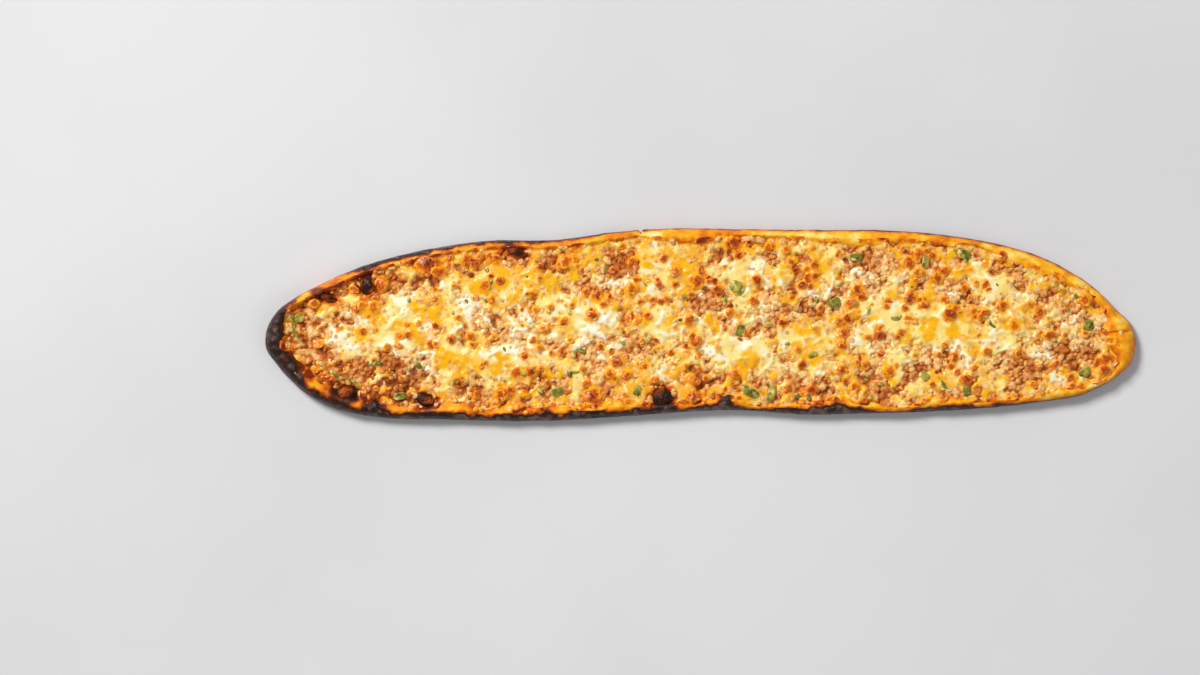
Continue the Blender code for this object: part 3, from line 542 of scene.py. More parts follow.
def rim_section(width, height, cut):
    """The rim's sections, as (distance inwards, height) from the foot over the crest to the floor."""
    belly, lip = 3.0, 5.6
    crest = crest_distance(width)
    still = np.zeros_like(width)
    section = [(still + 1.5, still), (still + 0.35, still + 1.2)]
    for angle in np.radians([0, 24, 46, 68, 90]):
        rise = (height - belly) * math.sin(angle)
        section.append((crest * (1 - math.cos(angle)), belly + rise))
    drop = height - FILLING_LEVEL
    for share, fall in ((0.5, 0.2), (0.82, 0.62), (1.0, 1.0)):
        section.append((crest + share * (width - crest), height - fall * drop))
    section.append((width + 0.7, still + lip))
    section.append((width + 1.6, still + BASE_THICKNESS))
    section = np.array(section).transpose(2, 0, 1)
    section[:, :, 0] = np.maximum(section[:, :, 0], cut[:, None])
    return section


@functools.lru_cache(maxsize=None)
def crust_form():
    """Corners of the crust as an array (station, row, xyz), and how far each is baked."""
    at, inward, width, height, cut, upper = rim_stations()
    section = smooth_rows(rim_section(width, height, cut), steps=4)
    reach, z = section[:, :, 0], section[:, :, 1]
    x = at[:, :1] + inward[:, :1] * reach
    y = at[:, 1:] + inward[:, 1:] * reach
    wrinkle = bpy.context.scene.pide_crust.wrinkle / MM
    folds = fractal(x + 0.8 * z, y - 0.6 * z, 9, 31) + 0.6 * fractal(x - z, y + z, 3.2, 37, 2)
    pits = smoothstep(0.35, 0.9, fractal(x + z, y + z, 4.5, 41, 2))
    depth = wrinkle * (0.55 + 0.5 * folds + 0.9 * pits)
    swell = smoothstep(0.8, 3.2, z)
    crest = crest_distance(width)[:, None]
    lean = np.clip(1 - reach / crest, -0.6, 1)
    x = x + inward[:, :1] * depth * swell * lean
    y = y + inward[:, 1:] * depth * swell * lean
    z = np.clip(z - depth * swell * np.sqrt(1 - lean * lean * 0.8), 0, DOUGH_HIGH[2] - 0.02)

    lower_share = 0.62 + 0.5 * smoothstep(-205, -238, at[:, 0])
    lower_reach = lower_share * along(CHAR_LOWER, at[:, 0])
    char_reach = np.where(upper, along(CHAR_UPPER, at[:, 0]), lower_reach)[:, None]
    tone = np.where(upper, along(TONE_UPPER, at[:, 0]), along(TONE_LOWER, at[:, 0]))[:, None]
    ragged = 2.4 * fractal(x + 0.7 * z, y - 0.7 * z, 7, 53) + 1.2 * fractal(x - z, y + z, 2.2, 59, 2)
    ragged = ragged * np.clip(0.35 + char_reach / 6, 0.2, 1)
    from_edge = reach + ragged - char_reach
    scorch = 1 - smoothstep(-1.4, 1.6 + 0.3 * np.maximum(char_reach, 0), from_edge)
    edge_tone = np.maximum(tone, 0.40 + 0.1 * fractal(x, y, 12, 61))
    bake = edge_tone + (tone - edge_tone) * smoothstep(0.6, 2.8, reach - np.maximum(char_reach, 0))
    bake = bake + 0.13 * fractal(x + 1.2 * z, y + 1.2 * z, 8, 67) + 0.08 * fractal(x - z, y - z, 2.6, 71, 2)
    for bubble in BUBBLES:
        near = oval_distance(x, y, oval_of(bubble))
        bake = np.maximum(bake, 0.74 * (1 - smoothstep(0.9, 1.9, near)))
    bake = np.maximum(bake, (0.62 + 0.12 * fractal(x, y, 5, 79)) * (1 - smoothstep(0.5, 1.9, reach)))
    bake = bake + 0.12 * smoothstep(0, 3, reach - crest)
    # Scorched dough is baked to 0.87-0.95 and beyond, up into the lighter grey-browns at the end of the
    # crust's scale, which are partly the char's own tone and partly painted sheen
    scorch_and_sheen = 0.87 + 0.08 * smoothstep(-210, -150, x)
    bake = bake + (scorch_and_sheen + 0.09 * fractal(x, y, 6, 73) + 0.07 * fractal(x, y, 2.0, 74, 2) - bake) * scorch
    wall = 1 - smoothstep(1.5, 6.0, z)
    outside = reach < 1.6
    bake = np.where(outside, bake + (np.clip(bake, 0.42, 0.7) - bake) * wall * 0.8, bake)
    return np.stack([x, y, z], axis=2), bake


@functools.lru_cache(maxsize=None)
def crust_tree():
    """The crust's top for finding its height."""
    points, _ = crust_form()
    count, rows, _ = points.shape
    faces = grid_faces(count, rows, wrap=True)
    return BVHTree.FromPolygons(points.reshape(-1, 3).tolist(), faces.tolist())


def crust_height(x, y):
    """Height of the dough's top under each place, and the boat's floor where there is no rim."""
    tree, above, down = crust_tree(), 40, Vector((0, 0, -1))
    heights = np.full(x.size, BASE_THICKNESS)
    for k, (px, py) in enumerate(zip(x.ravel(), y.ravel())):
        hit = tree.ray_cast(Vector((px, py, above)), down)[0]
        if hit is not None and hit.z > BASE_THICKNESS:
            heights[k] = hit.z
    return heights.reshape(x.shape)


def crest_lines():
    """The lower and upper line along which the filling's hidden edge lies, each as x and y."""
    at, inward, width, _, _, upper = rim_stations()
    line = at + inward * (0.34 * width + 1.0)[:, None]
    lines = []
    for side in (~upper, upper):
        points = line[side]
        points = points[np.argsort(points[:, 0])]
        lines.append((points[:, 0], points[:, 1]))
    return lines


# The filling's fields, on an even grid

def field_places():
    """X and y of every cell of the filling's grid."""
    cells_x = np.arange(-FIELD_HALF_LENGTH, FIELD_HALF_LENGTH + FIELD_STEP, FIELD_STEP)
    cells_y = np.arange(-FIELD_HALF_WIDTH, FIELD_HALF_WIDTH + FIELD_STEP, FIELD_STEP)
    return np.meshgrid(cells_x, cells_y, indexing="ij")


def sample(field, x, y):
    """Values of a field at places between its cells."""
    u = np.clip((x + FIELD_HALF_LENGTH) / FIELD_STEP, 0, field.shape[0] - 1.001)
    v = np.clip((y + FIELD_HALF_WIDTH) / FIELD_STEP, 0, field.shape[1] - 1.001)
    i, j = u.astype(int), v.astype(int)
    u, v = u - i, v - j
    low = field[i, j] * (1 - u) + field[i + 1, j] * u
    high = field[i, j + 1] * (1 - u) + field[i + 1, j + 1] * u
    return low * (1 - v) + high * v


def stamp(field, x, y, reach, shape, stretch=1.0):
    """Raises the field to shape(distance squared) around a place, within reach, longer or shorter in X."""
    i, j = (x + FIELD_HALF_LENGTH) / FIELD_STEP, (y + FIELD_HALF_WIDTH) / FIELD_STEP
    span = reach / FIELD_STEP
    i_low, i_high = max(int(i - span), 0), min(int(i + span) + 2, field.shape[0])
    j_low, j_high = max(int(j - span), 0), min(int(j + span) + 2, field.shape[1])
    if i_low >= i_high or j_low >= j_high:
        return
    off_i = (np.arange(i_low, i_high) - i)[:, None] * FIELD_STEP
    off_j = (np.arange(j_low, j_high) - j)[None] * FIELD_STEP
    window = field[i_low:i_high, j_low:j_high]
    np.maximum(window, shape(off_i ** 2 / stretch + off_j ** 2 * stretch), out=window)


def meat_tone(x, y):
    """How pale the meat is, clump by clump."""
    tone = 0.35 + 0.3 * fractal(x, y, 13, 89) + 0.36 * fractal(x, y, 4.5, 90)
    return tone - 0.18 * burnt_half(x)


def meat_film(x, y):
    """How far a thin film of cheese covers the meat."""
    film = smoothstep(-0.6, 0.2, sample(cover_field(), x, y))
    film += 0.4 * fractal(x, y, 5, 185) + 0.35 * sample(milky_field(), x, y)
    return film - 0.15 * burnt_half(x) - 0.25 * near_rim(x, y)


@functools.lru_cache(maxsize=None)
def crumbs():
    """Crumbs of meat over the whole filling: x, y, height of the middle, radius and tone."""
    settings = bpy.context.scene.pide_filling
    draw = np.random.default_rng(settings.seed)
    columns = np.arange(-243, 243, CRUMB_PITCH)
    rows = np.arange(-52, 53, CRUMB_PITCH * 0.87)
    x, y = np.meshgrid(columns, rows, indexing="ij")
    x = x + CRUMB_PITCH / 2 * (np.arange(rows.size) % 2)[None]
    x = (x + draw.uniform(-1.2, 1.2, x.shape)).ravel()
    y = (y + draw.uniform(-1.2, 1.2, y.shape)).ravel()
    level = settings.level / MM
    radius = 1.0 + 1.5 * draw.random(x.size) ** 1.7
    clump = 0.5 + 0.5 * fractal(x, y, 7, 83)
    z = level + 0.85 + 1.5 * clump + draw.uniform(-0.45, 0.45, x.size) - 0.8 * radius
    ground = crust_height(x, y)
    lines = crest_lines()
    inside = (y > np.interp(x, *lines[0]) + 1.8) & (y < np.interp(x, *lines[1]) - 1.8)
    inside &= ground < level + 2.1 + 1.1 * fractal(x, y, 6, 85) + 1.6 * smoothstep(-190, -230, x)
    radius = np.where(ground > level, np.minimum(radius, 1.7), radius)
    for bubble in BUBBLES:
        inside &= oval_distance(x, y, oval_of(bubble)) > 0.92
    for pepper in PEPPERS:
        under = oval_distance(x, y, oval_of(pepper)) < 0.9
        z = np.where(under, np.minimum(z, CHEESE_HIGH[2] - 3.4), z)
    z = np.minimum(np.maximum(z, ground + 0.1), DOUGH_HIGH[2] - 0.6 - radius)
    tone = np.clip(meat_tone(x, y) + draw.normal(0, 0.08, x.size), 0, 1)
    return np.column_stack([x, y, z, radius, tone])[inside]


@functools.lru_cache(maxsize=None)
def meat_field():
    """Height of the meat's top, crumb by crumb."""
    x, y = field_places()
    level = bpy.context.scene.pide_filling.level / MM
    meat = level + 0.2 + 0.35 * fractal(x, y, 26, 97, 2)

    def lump(gap):
        return np.where(gap < radius ** 2, top + np.sqrt(np.maximum(radius ** 2 - gap, 0)), -1)

    for crumb_x, crumb_y, top, radius, _ in crumbs():
        stamp(meat, crumb_x, crumb_y, radius, lump)
    return meat


@functools.lru_cache(maxsize=None)
def warped_places():
    """The grid's places pushed about, so that patches and pools get ragged edges."""
    x, y = field_places()
    return (
        x + 6.0 * fractal(x, y, 10, 101) + 2.3 * fractal(x, y, 3.2, 102, 2),
        y + 6.0 * fractal(x, y, 10, 103) + 2.3 * fractal(x, y, 3.2, 104, 2),
    )


def round_places(places):
    """How near each place of the grid is to the middle of a round place with ragged edges."""
    warped = warped_places()
    near = np.zeros(warped[0].shape)
    for middle_x, middle_y, radius in places:
        distance = oval_distance(*warped, (middle_x, middle_y, radius, 0.8 * radius, 0))
        near = np.maximum(near, 1 - smoothstep(0.2, 1.3, distance))
    return near


@functools.lru_cache(maxsize=None)
def milky_field():
    """Where the whitest cheese lies."""
    return round_places(MILKY_PLACES)


def near_rim(x, y):
    """0 along the pide's middle, 1 beside the rim."""
    lower, upper = crest_lines()
    low, high = np.interp(x, *lower), np.interp(x, *upper)
    return smoothstep(0.35, 0.95, np.abs(2 * y - low - high) / (high - low))


@functools.lru_cache(maxsize=None)
def cover_field():
    """How much cheese lies at each place: below 0 the meat is bare."""
    x, y = field_places()
    warped = warped_places()
    cover = 0.13 + 0.20 * fractal(x, y, 13, 107) + 0.50 * fractal(x, y, 4.6, 109)
    cover += 0.16 * milky_field() - 0.14 * burnt_half(x)
    for patch in MEAT_PATCHES:
        cover -= 0.42 * (1 - smoothstep(0.2, 1.4, oval_distance(*warped, patch)))
    for pool in CHEESE_POOLS:
        cover += 0.66 * (1 - smoothstep(0.3, 1.35, oval_distance(*warped, pool)))
    return cover


@functools.lru_cache(maxsize=None)
def strand_field():
    """Ridges of half-melted strands of cheese."""
    cover = cover_field()
    strands = np.zeros(cover.shape)
    draw = np.random.default_rng(STRAND_SEED)
    for _ in range(STRANDS):
        x, y = draw.uniform(*STRAND_X), draw.uniform(*FILLING_Y)
        heading, bend = draw.normal(0.15, 0.8), draw.normal(0, 0.09)
        thick = draw.uniform(0.7, 1.25)
        steps = int(draw.uniform(9, 26))
        if sample(cover, np.array(x), np.array(y)) < -0.12:
            continue
        for _ in range(steps):
            stamp(strands, x, y, 2 * thick, lambda gap: np.exp(-gap / thick ** 2))
            x += 0.7 * math.cos(heading)
            y += 0.7 * math.sin(heading)
            heading += bend
    return strands


@functools.lru_cache(maxsize=None)
def toasted_places():
    """All toasted bubbles of cheese, those listed and small ones at random."""
    places = [(x, y, 1.18 * radius, dark) for x, y, radius, dark in TOASTED_SPOTS]
    draw = np.random.default_rng(SPOT_SEED)
    for _ in range(SMALL_SPOTS):
        place = draw.uniform(*SPOT_X), draw.uniform(*FILLING_Y)
        places.append((*place, 1.2 + 2.2 * draw.random() ** 1.7, draw.uniform(0.34, 0.85)))
    return places


@functools.lru_cache(maxsize=None)
def blister_fields():
    """How toasted the cheese is, and how high its blisters stand."""
    x, y = field_places()
    toast, rise = np.zeros(x.shape), np.zeros(x.shape)
    draw = np.random.default_rng(SPOT_SEED + 1)
    for spot_x, spot_y, radius, dark in toasted_places():
        stretch = draw.uniform(0.8, 1.25)

        def brown(gap):
            return dark * np.exp(-(gap / (1.05 * radius) ** 2) ** 1.6)

        def dome(gap):
            return 0.24 * radius * np.maximum(1 - gap / (1.2 * radius) ** 2, 0)

        stamp(toast, spot_x, spot_y, 2.2 * radius, brown, stretch)
        stamp(rise, spot_x, spot_y, 1.3 * radius, dome, stretch)
    toast = toast * (0.85 + 0.45 * fractal(x, y, 2.4, 127, 2))
    return toast, rise


@functools.lru_cache(maxsize=None)
def filling():
    """The cheese's height, and the masks that colour it, painted light and shade included."""
    x, y = field_places()
    meat, cover, strands = meat_field(), cover_field(), strand_field()
    cover = cover + 0.14 * (strands - 0.3)
    toast, blisters = blister_fields()
    cover = cover + 0.4 * smoothstep(0.15, 0.5, blisters)
    lumpy, soft = blur(meat, 2.0), blur(meat, 5.0)
    cheese = lumpy + (soft + 0.25 - lumpy) * smoothstep(-0.05, 0.4, cover)
    cheese += -1.7 + 1.95 * smoothstep(-0.34, 0.10, cover) + 0.75 * np.clip(cover, 0, 1)
    cheese += 0.40 * strands * smoothstep(-0.1, 0.25, cover) + 0.8 * blisters
    cheese += 0.35 * fractal(x, y, 6.5, 113) * smoothstep(-0.1, 0.3, cover)

    veil = 1 - smoothstep(-0.05, 0.75, cheese - meat)
    blush = smoothstep(0.1, 0.8, 0.6 * fractal(x, y, 17, 131) + 0.6 * fractal(x, y, 4.0, 137))
    rim_of_patch = 1 - smoothstep(0.0, 0.2, np.abs(cover + 0.02))
    toast = toast + 0.18 * blush + 0.18 * rim_of_patch + 0.06 * burnt_half(x)
    for bubble in BUBBLES:
        near = oval_distance(x, y, oval_of(bubble))
        toast += 0.55 * (1 - smoothstep(0.9, 1.7, near))
    # Painted shade and light: where the cheese lies lower than round about it is painted more toasted and
    # golden, partly as fat that pools there and partly as painted shade, and where it stands higher it is
    # painted milkier as painted light
    hollow = blur(cheese, 3.0) - cheese
    toast = toast + 0.16 * smoothstep(0.1, 0.6, hollow)
    milky_and_lit = 0.06 + 0.6 * fractal(x, y, 8, 139) + 0.32 * fractal(x, y, 2.8, 140, 2)
    milky_and_lit += 0.4 * strands + 0.5 * smoothstep(0.0, 0.5, -hollow)
    fat_and_shade = 0.3 + 0.8 * fractal(x, y, 7.5, 149) + 0.3 * fractal(x, y, 3.0, 150, 2)
    fat_and_shade += 0.7 * smoothstep(0.0, 0.5, hollow)
    beside = near_rim(x, y)
    milky_and_lit += 0.68 * milky_field() - 0.3 * beside
    fat_and_shade += 1.5 * round_places(FAT_PLACES) - 0.5 * milky_field() + 0.45 * beside
    toast = toast + 0.1 * beside - 0.1 * milky_field()
    fat_and_shade = blur(np.clip(fat_and_shade, 0, 1.3), 0.9) * (1 - 0.45 * strands)
    return cheese, {"toast": toast, "veil": veil, "milky_and_lit": milky_and_lit - 0.7 * fat_and_shade, "fat_and_shade": fat_and_shade}


# Making meshes

def grid_faces(columns, rows, wrap=False):
    """Quads of a grid of corners numbered column by column, closed round the columns if wrap."""
    count = columns if wrap else columns - 1
    start = (np.arange(count)[:, None] * rows + np.arange(rows - 1)[None]).ravel()
    following = (start + rows) % (columns * rows)
    return np.column_stack([start, following, following + 1, start + 1])


def closed_faces(columns, rows, start=0):
    """Faces of a closed form whose columns of corners go round it, numbered from start, with both ends."""
    ends = start + np.arange(columns) * rows
    faces = (grid_faces(columns, rows, wrap=True) + start).tolist()
    return [*faces, ends[::-1].tolist(), (ends + rows - 1).tolist()]


def new_piece(name, corners, faces, material, **masks):
    """A smooth mesh piece in millimetre corners, with its masks stored on its corners."""
    mesh = bpy.data.meshes.new(name)
    mesh.from_pydata((np.asarray(corners) * MM).tolist(), [], faces)
    mesh.update()
    mesh.validate()
    mesh.shade_smooth()
    mesh.materials.append(material)
    for mask, values in masks.items():
        layer = mesh.attributes.new(mask, "FLOAT", "POINT")
        layer.data.foreach_set("value", np.asarray(values, np.float32).ravel())
    piece = bpy.data.objects.new(name, mesh)
    bpy.context.scene.collection.objects.link(piece)
    return piece


def slab(name, top, bottom, material, **masks):
    """A closed layer: its top is an array (column, row, xyz), its underside is flat at bottom."""
    columns, rows, _ = top.shape
    number = np.arange(columns * rows).reshape(columns, rows)
    border = np.concatenate([number[:, 0], number[-1, 1:], number[-2::-1, -1], number[0, -2:0:-1]])
    corners = top.reshape(-1, 3)
    under = corners[border].copy()
    under[:, 2] = bottom
    first = len(corners)
    below = first + np.arange(len(border))
    sides = np.column_stack([border, below, np.roll(below, -1), np.roll(border, -1)])
    faces = [*grid_faces(columns, rows).tolist(), *sides.tolist(), below[::-1].tolist()]
    flat = {mask: values.ravel() for mask, values in masks.items()}
    flat = {mask: np.concatenate([values, values[border]]) for mask, values in flat.items()}
    return new_piece(name, np.vstack([corners, under]), faces, material, **flat)


def filling_grid(step):
    """X and y of a grid that fills the boat from rim to rim, hidden edge included."""
    lower, upper = crest_lines()
    first, last, breadth = -241.0, 240.0, 98
    columns = np.linspace(first, last, int((last - first) / step))
    low, high = np.interp(columns, *lower), np.interp(columns, *upper)
    shares = np.linspace(0, 1, int(breadth / step))
    x = np.repeat(columns[:, None], shares.size, axis=1)
    y = low[:, None] + (high - low)[:, None] * shares[None]
    return x, y


def points_out(piece):
    """Turns the faces outwards where the mesh is inside out."""
    mesh = piece.data
    volume = 0.0
    for polygon in mesh.polygons:
        volume += polygon.center.dot(polygon.normal) * polygon.area
    if volume < 0:
        mesh.flip_normals()


# Materials

class Wiring:
    """Short ways to add and join shader nodes."""

    def __init__(self, tree):
        self.tree = tree

    def node(self, kind, inputs=(), **settings):
        """A new node with its settings, and a value or a link for each input named."""
        made = self.tree.nodes.new(kind)
        for key, value in settings.items():
            setattr(made, key, value)
        for key, value in dict(inputs).items():
            self.put(made.inputs[key], value)
        return made

    def put(self, socket, value):
        """Links another node's output to a socket, or sets the socket to a plain value."""
        if isinstance(value, bpy.types.NodeSocket):
            self.tree.links.new(value, socket)
        else:
            socket.default_value = value

    def mask(self, name):
        """A mask stored on the mesh."""
        return self.node("ShaderNodeAttribute", attribute_name=name).outputs["Fac"]

    def place(self):
        """The Object coordinates."""
        return self.node("ShaderNodeTexCoord").outputs["Object"]

    def reckon(self, operation, first, second, limited=False):
        """The outcome of one step of arithmetic, kept from 0 to 1 if limited."""
        made = self.node("ShaderNodeMath", {0: first, 1: second}, operation=operation)
        made.use_clamp = limited
        return made.outputs[0]

    def scaled(self, vector, share):
        """A vector times a value."""
        return self.node("ShaderNodeVectorMath", {0: vector, "Scale": share}, operation="SCALE").outputs[0]

    def noise(self, scale, detail, distortion=0.0):
        """Noise at the Object coordinates."""
        inputs = {"Vector": self.place(), "Scale": scale, "Detail": detail, "Distortion": distortion}
        return self.node("ShaderNodeTexNoise", inputs).outputs["Fac"]

    def swing(self, value, share):
        """How far a value lies from its middle of 0.5, times a share."""
        return self.reckon("MULTIPLY", self.reckon("SUBTRACT", value, 0.5), share)

    def between(self, value, low, high, to_low=0.0, to_high=1.0):
        """A soft step from to_low to to_high while the value goes from low to high."""
        inputs = {"Value": value, "From Min": low, "From Max": high, "To Min": to_low, "To Max": to_high}
        return self.node("ShaderNodeMapRange", inputs, interpolation_type="SMOOTHSTEP").outputs[0]

    def mix(self, share, first, second):
        """A colour between two colours."""
        made = self.node("ShaderNodeMix", data_type="RGBA")
        for socket, value in zip((made.inputs[0], made.inputs[6], made.inputs[7]), (share, first, second)):
            self.put(socket, (*value, 1) if isinstance(value, tuple) and len(value) == 3 else value)
        return made.outputs[2]

    def ramp(self, value, stops):
        """The colour at a value of a scale given as (place, colour)."""
        made = self.node("ShaderNodeValToRGB", {"Fac": value})
        ends = made.color_ramp.elements
        while len(ends) < len(stops):
            ends.new(0.5)
        for end, (place, colour) in zip(ends, stops):
            end.position = place
            end.color = (*colour, 1)
        return made.outputs["Color"]


def food_grain():
    """Node group: uneven tone and fine relief of baked food, from Object coordinates."""
    group = bpy.data.node_groups.get("Food grain")
    if group:
        return group
    group = bpy.data.node_groups.new("Food grain", "ShaderNodeTree")
    for name, default in (("Blotch Size", 0.006), ("Grain Size", 0.0008)):
        socket = group.interface.new_socket(name, in_out="INPUT", socket_type="NodeSocketFloat")
        socket.default_value = default
    for name in ("Blotch", "Grain", "Height"):
        group.interface.new_socket(name, in_out="OUTPUT", socket_type="NodeSocketFloat")
    wire = Wiring(group)
    given = wire.node("NodeGroupInput").outputs
    fine = wire.reckon("DIVIDE", 1.0, given["Grain Size"])
    blotch = wire.noise(wire.reckon("DIVIDE", 1.0, given["Blotch Size"]), 4.0)
    grain = wire.noise(fine, 3.0)
    cells = wire.node("ShaderNodeTexVoronoi", {"Vector": wire.place(), "Scale": fine})
    height = wire.reckon("ADD", grain, wire.reckon("MULTIPLY", cells.outputs["Distance"], 0.25))
    wire.node("NodeGroupOutput", {"Blotch": blotch, "Grain": grain, "Height": height})
    return group


def start_material(name, blotch, grain):
    """A new material, its wiring, its Principled shader and its own grain group."""
    material = bpy.data.materials.new(name)
    material.use_nodes = True
    wire = Wiring(material.node_tree)
    texture = wire.node("ShaderNodeGroup", node_tree=food_grain())
    texture.inputs["Blotch Size"].default_value = blotch
    texture.inputs["Grain Size"].default_value = grain
    return material, wire, material.node_tree.nodes["Principled BSDF"], texture.outputs


def finish_material(wire, shader, height, colour, roughness, gloss, strength, depth):
    """Joins a colour, a roughness, a gloss and fine relief from a height to the shader."""
    wire.put(shader.inputs["Base Color"], colour)
    wire.put(shader.inputs["Roughness"], roughness)
    wire.put(shader.inputs["Specular IOR Level"], gloss)
    relief = wire.node("ShaderNodeBump", {"Height": height, "Strength": strength, "Distance": depth})
    wire.put(shader.inputs["Normal"], relief.outputs["Normal"])


def let_light_in(shader, weight, radius, scale):
    """Lets light into the food under a shader."""
    shader.inputs["Subsurface Weight"].default_value = weight
    shader.inputs["Subsurface Radius"].default_value = radius
    shader.inputs["Subsurface Scale"].default_value = scale


@functools.lru_cache(maxsize=None)
def crust_material():
    """Baked dough: pale, golden, brown and black by the bake mask, with a painted grey-brown sheen at its
    black end, glossy where it was egg-washed.
    """
    colours = bpy.context.scene.pide_crust
    material, wire, shader, texture = start_material("baked_crust", 0.004, 0.0007)
    bake = wire.mask("bake")
    uneven = wire.reckon("ADD", wire.swing(texture["Blotch"], 0.34), wire.swing(texture["Grain"], 0.16))
    bake = wire.reckon("ADD", bake, uneven, limited=True)
    # From 0.92 to 1 the scale turns to lighter grey-browns: partly the char's own tone, partly painted sheen
    # on the char
    stops = [
        (0.0, tuple(colours.pale)), (0.14, linear(255, 218, 118)), (0.27, linear(255, 190, 34)),
        (0.42, tuple(colours.golden)), (0.56, linear(206, 98, 8)), (0.68, tuple(colours.brown)),
        (0.78, linear(82, 32, 10)), (0.86, tuple(colours.char)), (0.92, linear(48, 32, 26)),
        (0.96, linear(78, 56, 48)), (1.0, linear(116, 88, 76)),
    ]
    roughness = wire.between(bake, 0.25, 0.75, 0.42, 0.34)
    gloss = wire.between(bake, 0.3, 0.85, 0.2, 0.24)
    let_light_in(shader, 0.08, (1.0, 0.5, 0.2), 0.002)
    finish_material(wire, shader, texture["Height"], wire.ramp(bake, stops), roughness, gloss, 0.5, 0.0007)
    return material


@functools.lru_cache(maxsize=None)
def cheese_material():
    """Melted cheese: cream to milky, with golden fat, toasted bubbles and meat showing through, and painted
    light and shade on its raised parts and hollows.
    """
    colours = bpy.context.scene.pide_filling
    material, wire, shader, texture = start_material("melted_cheese_skin", 0.0035, 0.0009)

    def uneven(mask, share):
        swing = wire.swing(texture["Blotch"], share)
        return wire.reckon("ADD", wire.mask(mask), swing, limited=True)

    # The milky and golden fat masks also carry painted light on the raised cheese and painted shade in its
    # hollows
    milky_and_lit = wire.between(uneven("milky_and_lit", 0.5), 0.1, 0.95)
    colour = wire.mix(milky_and_lit, tuple(colours.cheese), tuple(colours.milky_and_lit))
    colour = wire.mix(wire.between(uneven("fat_and_shade", 0.6), 0.12, 0.9), colour, tuple(colours.fat_and_shade))
    veil = wire.reckon("ADD", uneven("veil", 0.4), wire.swing(texture["Grain"], 0.5), limited=True)
    under = wire.mix(wire.between(texture["Blotch"], 0.4, 0.62), linear(212, 134, 60), linear(247, 204, 148))
    colour = wire.mix(wire.between(veil, 0.1, 0.95, 0.0, 0.85), colour, under)
    cells = wire.node("ShaderNodeTexVoronoi", {"Vector": wire.place(), "Scale": 1 / (FRECKLE_PITCH * MM)})
    chance = wire.node("ShaderNodeSeparateColor", {"Color": cells.outputs["Color"]}).outputs[0]
    spot = wire.between(cells.outputs["Distance"], 0.15, 0.5, 1.0, 0.0)
    freckle = wire.reckon("MULTIPLY", spot, wire.between(chance, 0.45, 0.9))
    toast = wire.reckon("ADD", uneven("toast", 0.45), wire.swing(texture["Grain"], 0.35), limited=True)
    toast = wire.reckon("ADD", toast, wire.reckon("MULTIPLY", freckle, 0.18), limited=True)
    colour = wire.mix(wire.between(toast, 0.12, 0.42, 0.0, 0.85), colour, linear(248, 164, 18))
    colour = wire.mix(wire.between(toast, 0.38, 0.66), colour, tuple(colours.toast))
    colour = wire.mix(wire.between(toast, 0.66, 0.95), colour, linear(130, 40, 6))
    roughness = wire.between(texture["Blotch"], 0.3, 0.7, 0.15, 0.34)
    let_light_in(shader, 0.12, (1.0, 0.55, 0.25), 0.0015)
    finish_material(wire, shader, texture["Height"], colour, roughness, 0.3, 0.22, 0.0006)
    return material


@functools.lru_cache(maxsize=None)
def meat_material():
    """Cooked minced meat: tan to brown crumbs, wet with orange fat, painted paler on top and darker at the
    foot.
    """
    colours = bpy.context.scene.pide_filling
    material, wire, shader, texture = start_material("cooked_mince", 0.0024, 0.0006)
    # Painted light and shade: each crumb is painted paler towards its top and darker towards its foot
    tone = wire.reckon("ADD", wire.mask("tone"), wire.reckon("MULTIPLY", wire.mask("top"), 0.16))
    tone = wire.reckon("ADD", tone, wire.swing(texture["Blotch"], 1.25), limited=True)
    stops = [
        (0.0, linear(140, 62, 8)), (0.25, linear(190, 98, 16)), (0.5, tuple(colours.meat)),
        (0.75, linear(240, 182, 116)), (1.0, linear(252, 216, 164)),
    ]
    colour = wire.ramp(tone, stops)
    fatty = wire.between(texture["Grain"], 0.5, 0.72, 0.0, 0.35)
    colour = wire.mix(fatty, colour, linear(230, 122, 14))
    streaks = wire.reckon("MULTIPLY", wire.noise(300.0, 2.0, 0.8), 1.1)
    film = wire.reckon("ADD", wire.mask("film"), streaks)
    # Painted light: the crumbs' tops also take more of the pale cheese film
    film = wire.reckon("ADD", film, wire.reckon("MULTIPLY", wire.mask("top"), 0.12))
    colour = wire.mix(wire.between(film, 0.85, 1.6, 0.0, 0.8), colour, tuple(colours.cheese_film))
    roughness = wire.between(texture["Blotch"], 0.4, 0.62, 0.56, 0.34)
    finish_material(wire, shader, texture["Height"], colour, roughness, 0.3, 0.5, 0.0007)
    return material


@functools.lru_cache(maxsize=None)
def toasted_material():
    """Browned bubbles of cheese: golden at the foot, glossy red-brown on top."""
    colours = bpy.context.scene.pide_filling
    material, wire, shader, texture = start_material("toasted_cheese", 0.0018, 0.0005)
    tone = wire.reckon("ADD", wire.mask("tone"), wire.between(wire.mask("top"), 0.25, 0.95, 0.0, 0.5))
    tone = wire.reckon("ADD", tone, wire.swing(texture["Blotch"], 0.9), limited=True)
    stops = [
        (0.0, linear(254, 190, 76)), (0.3, linear(246, 158, 24)), (0.55, tuple(colours.toast)),
        (0.78, linear(170, 68, 6)), (1.0, linear(92, 28, 6)),
    ]
    roughness = wire.between(texture["Grain"], 0.3, 0.7, 0.14, 0.3)
    finish_material(wire, shader, texture["Height"], wire.ramp(tone, stops), roughness, 0.34, 0.3, 0.0005)
    return material


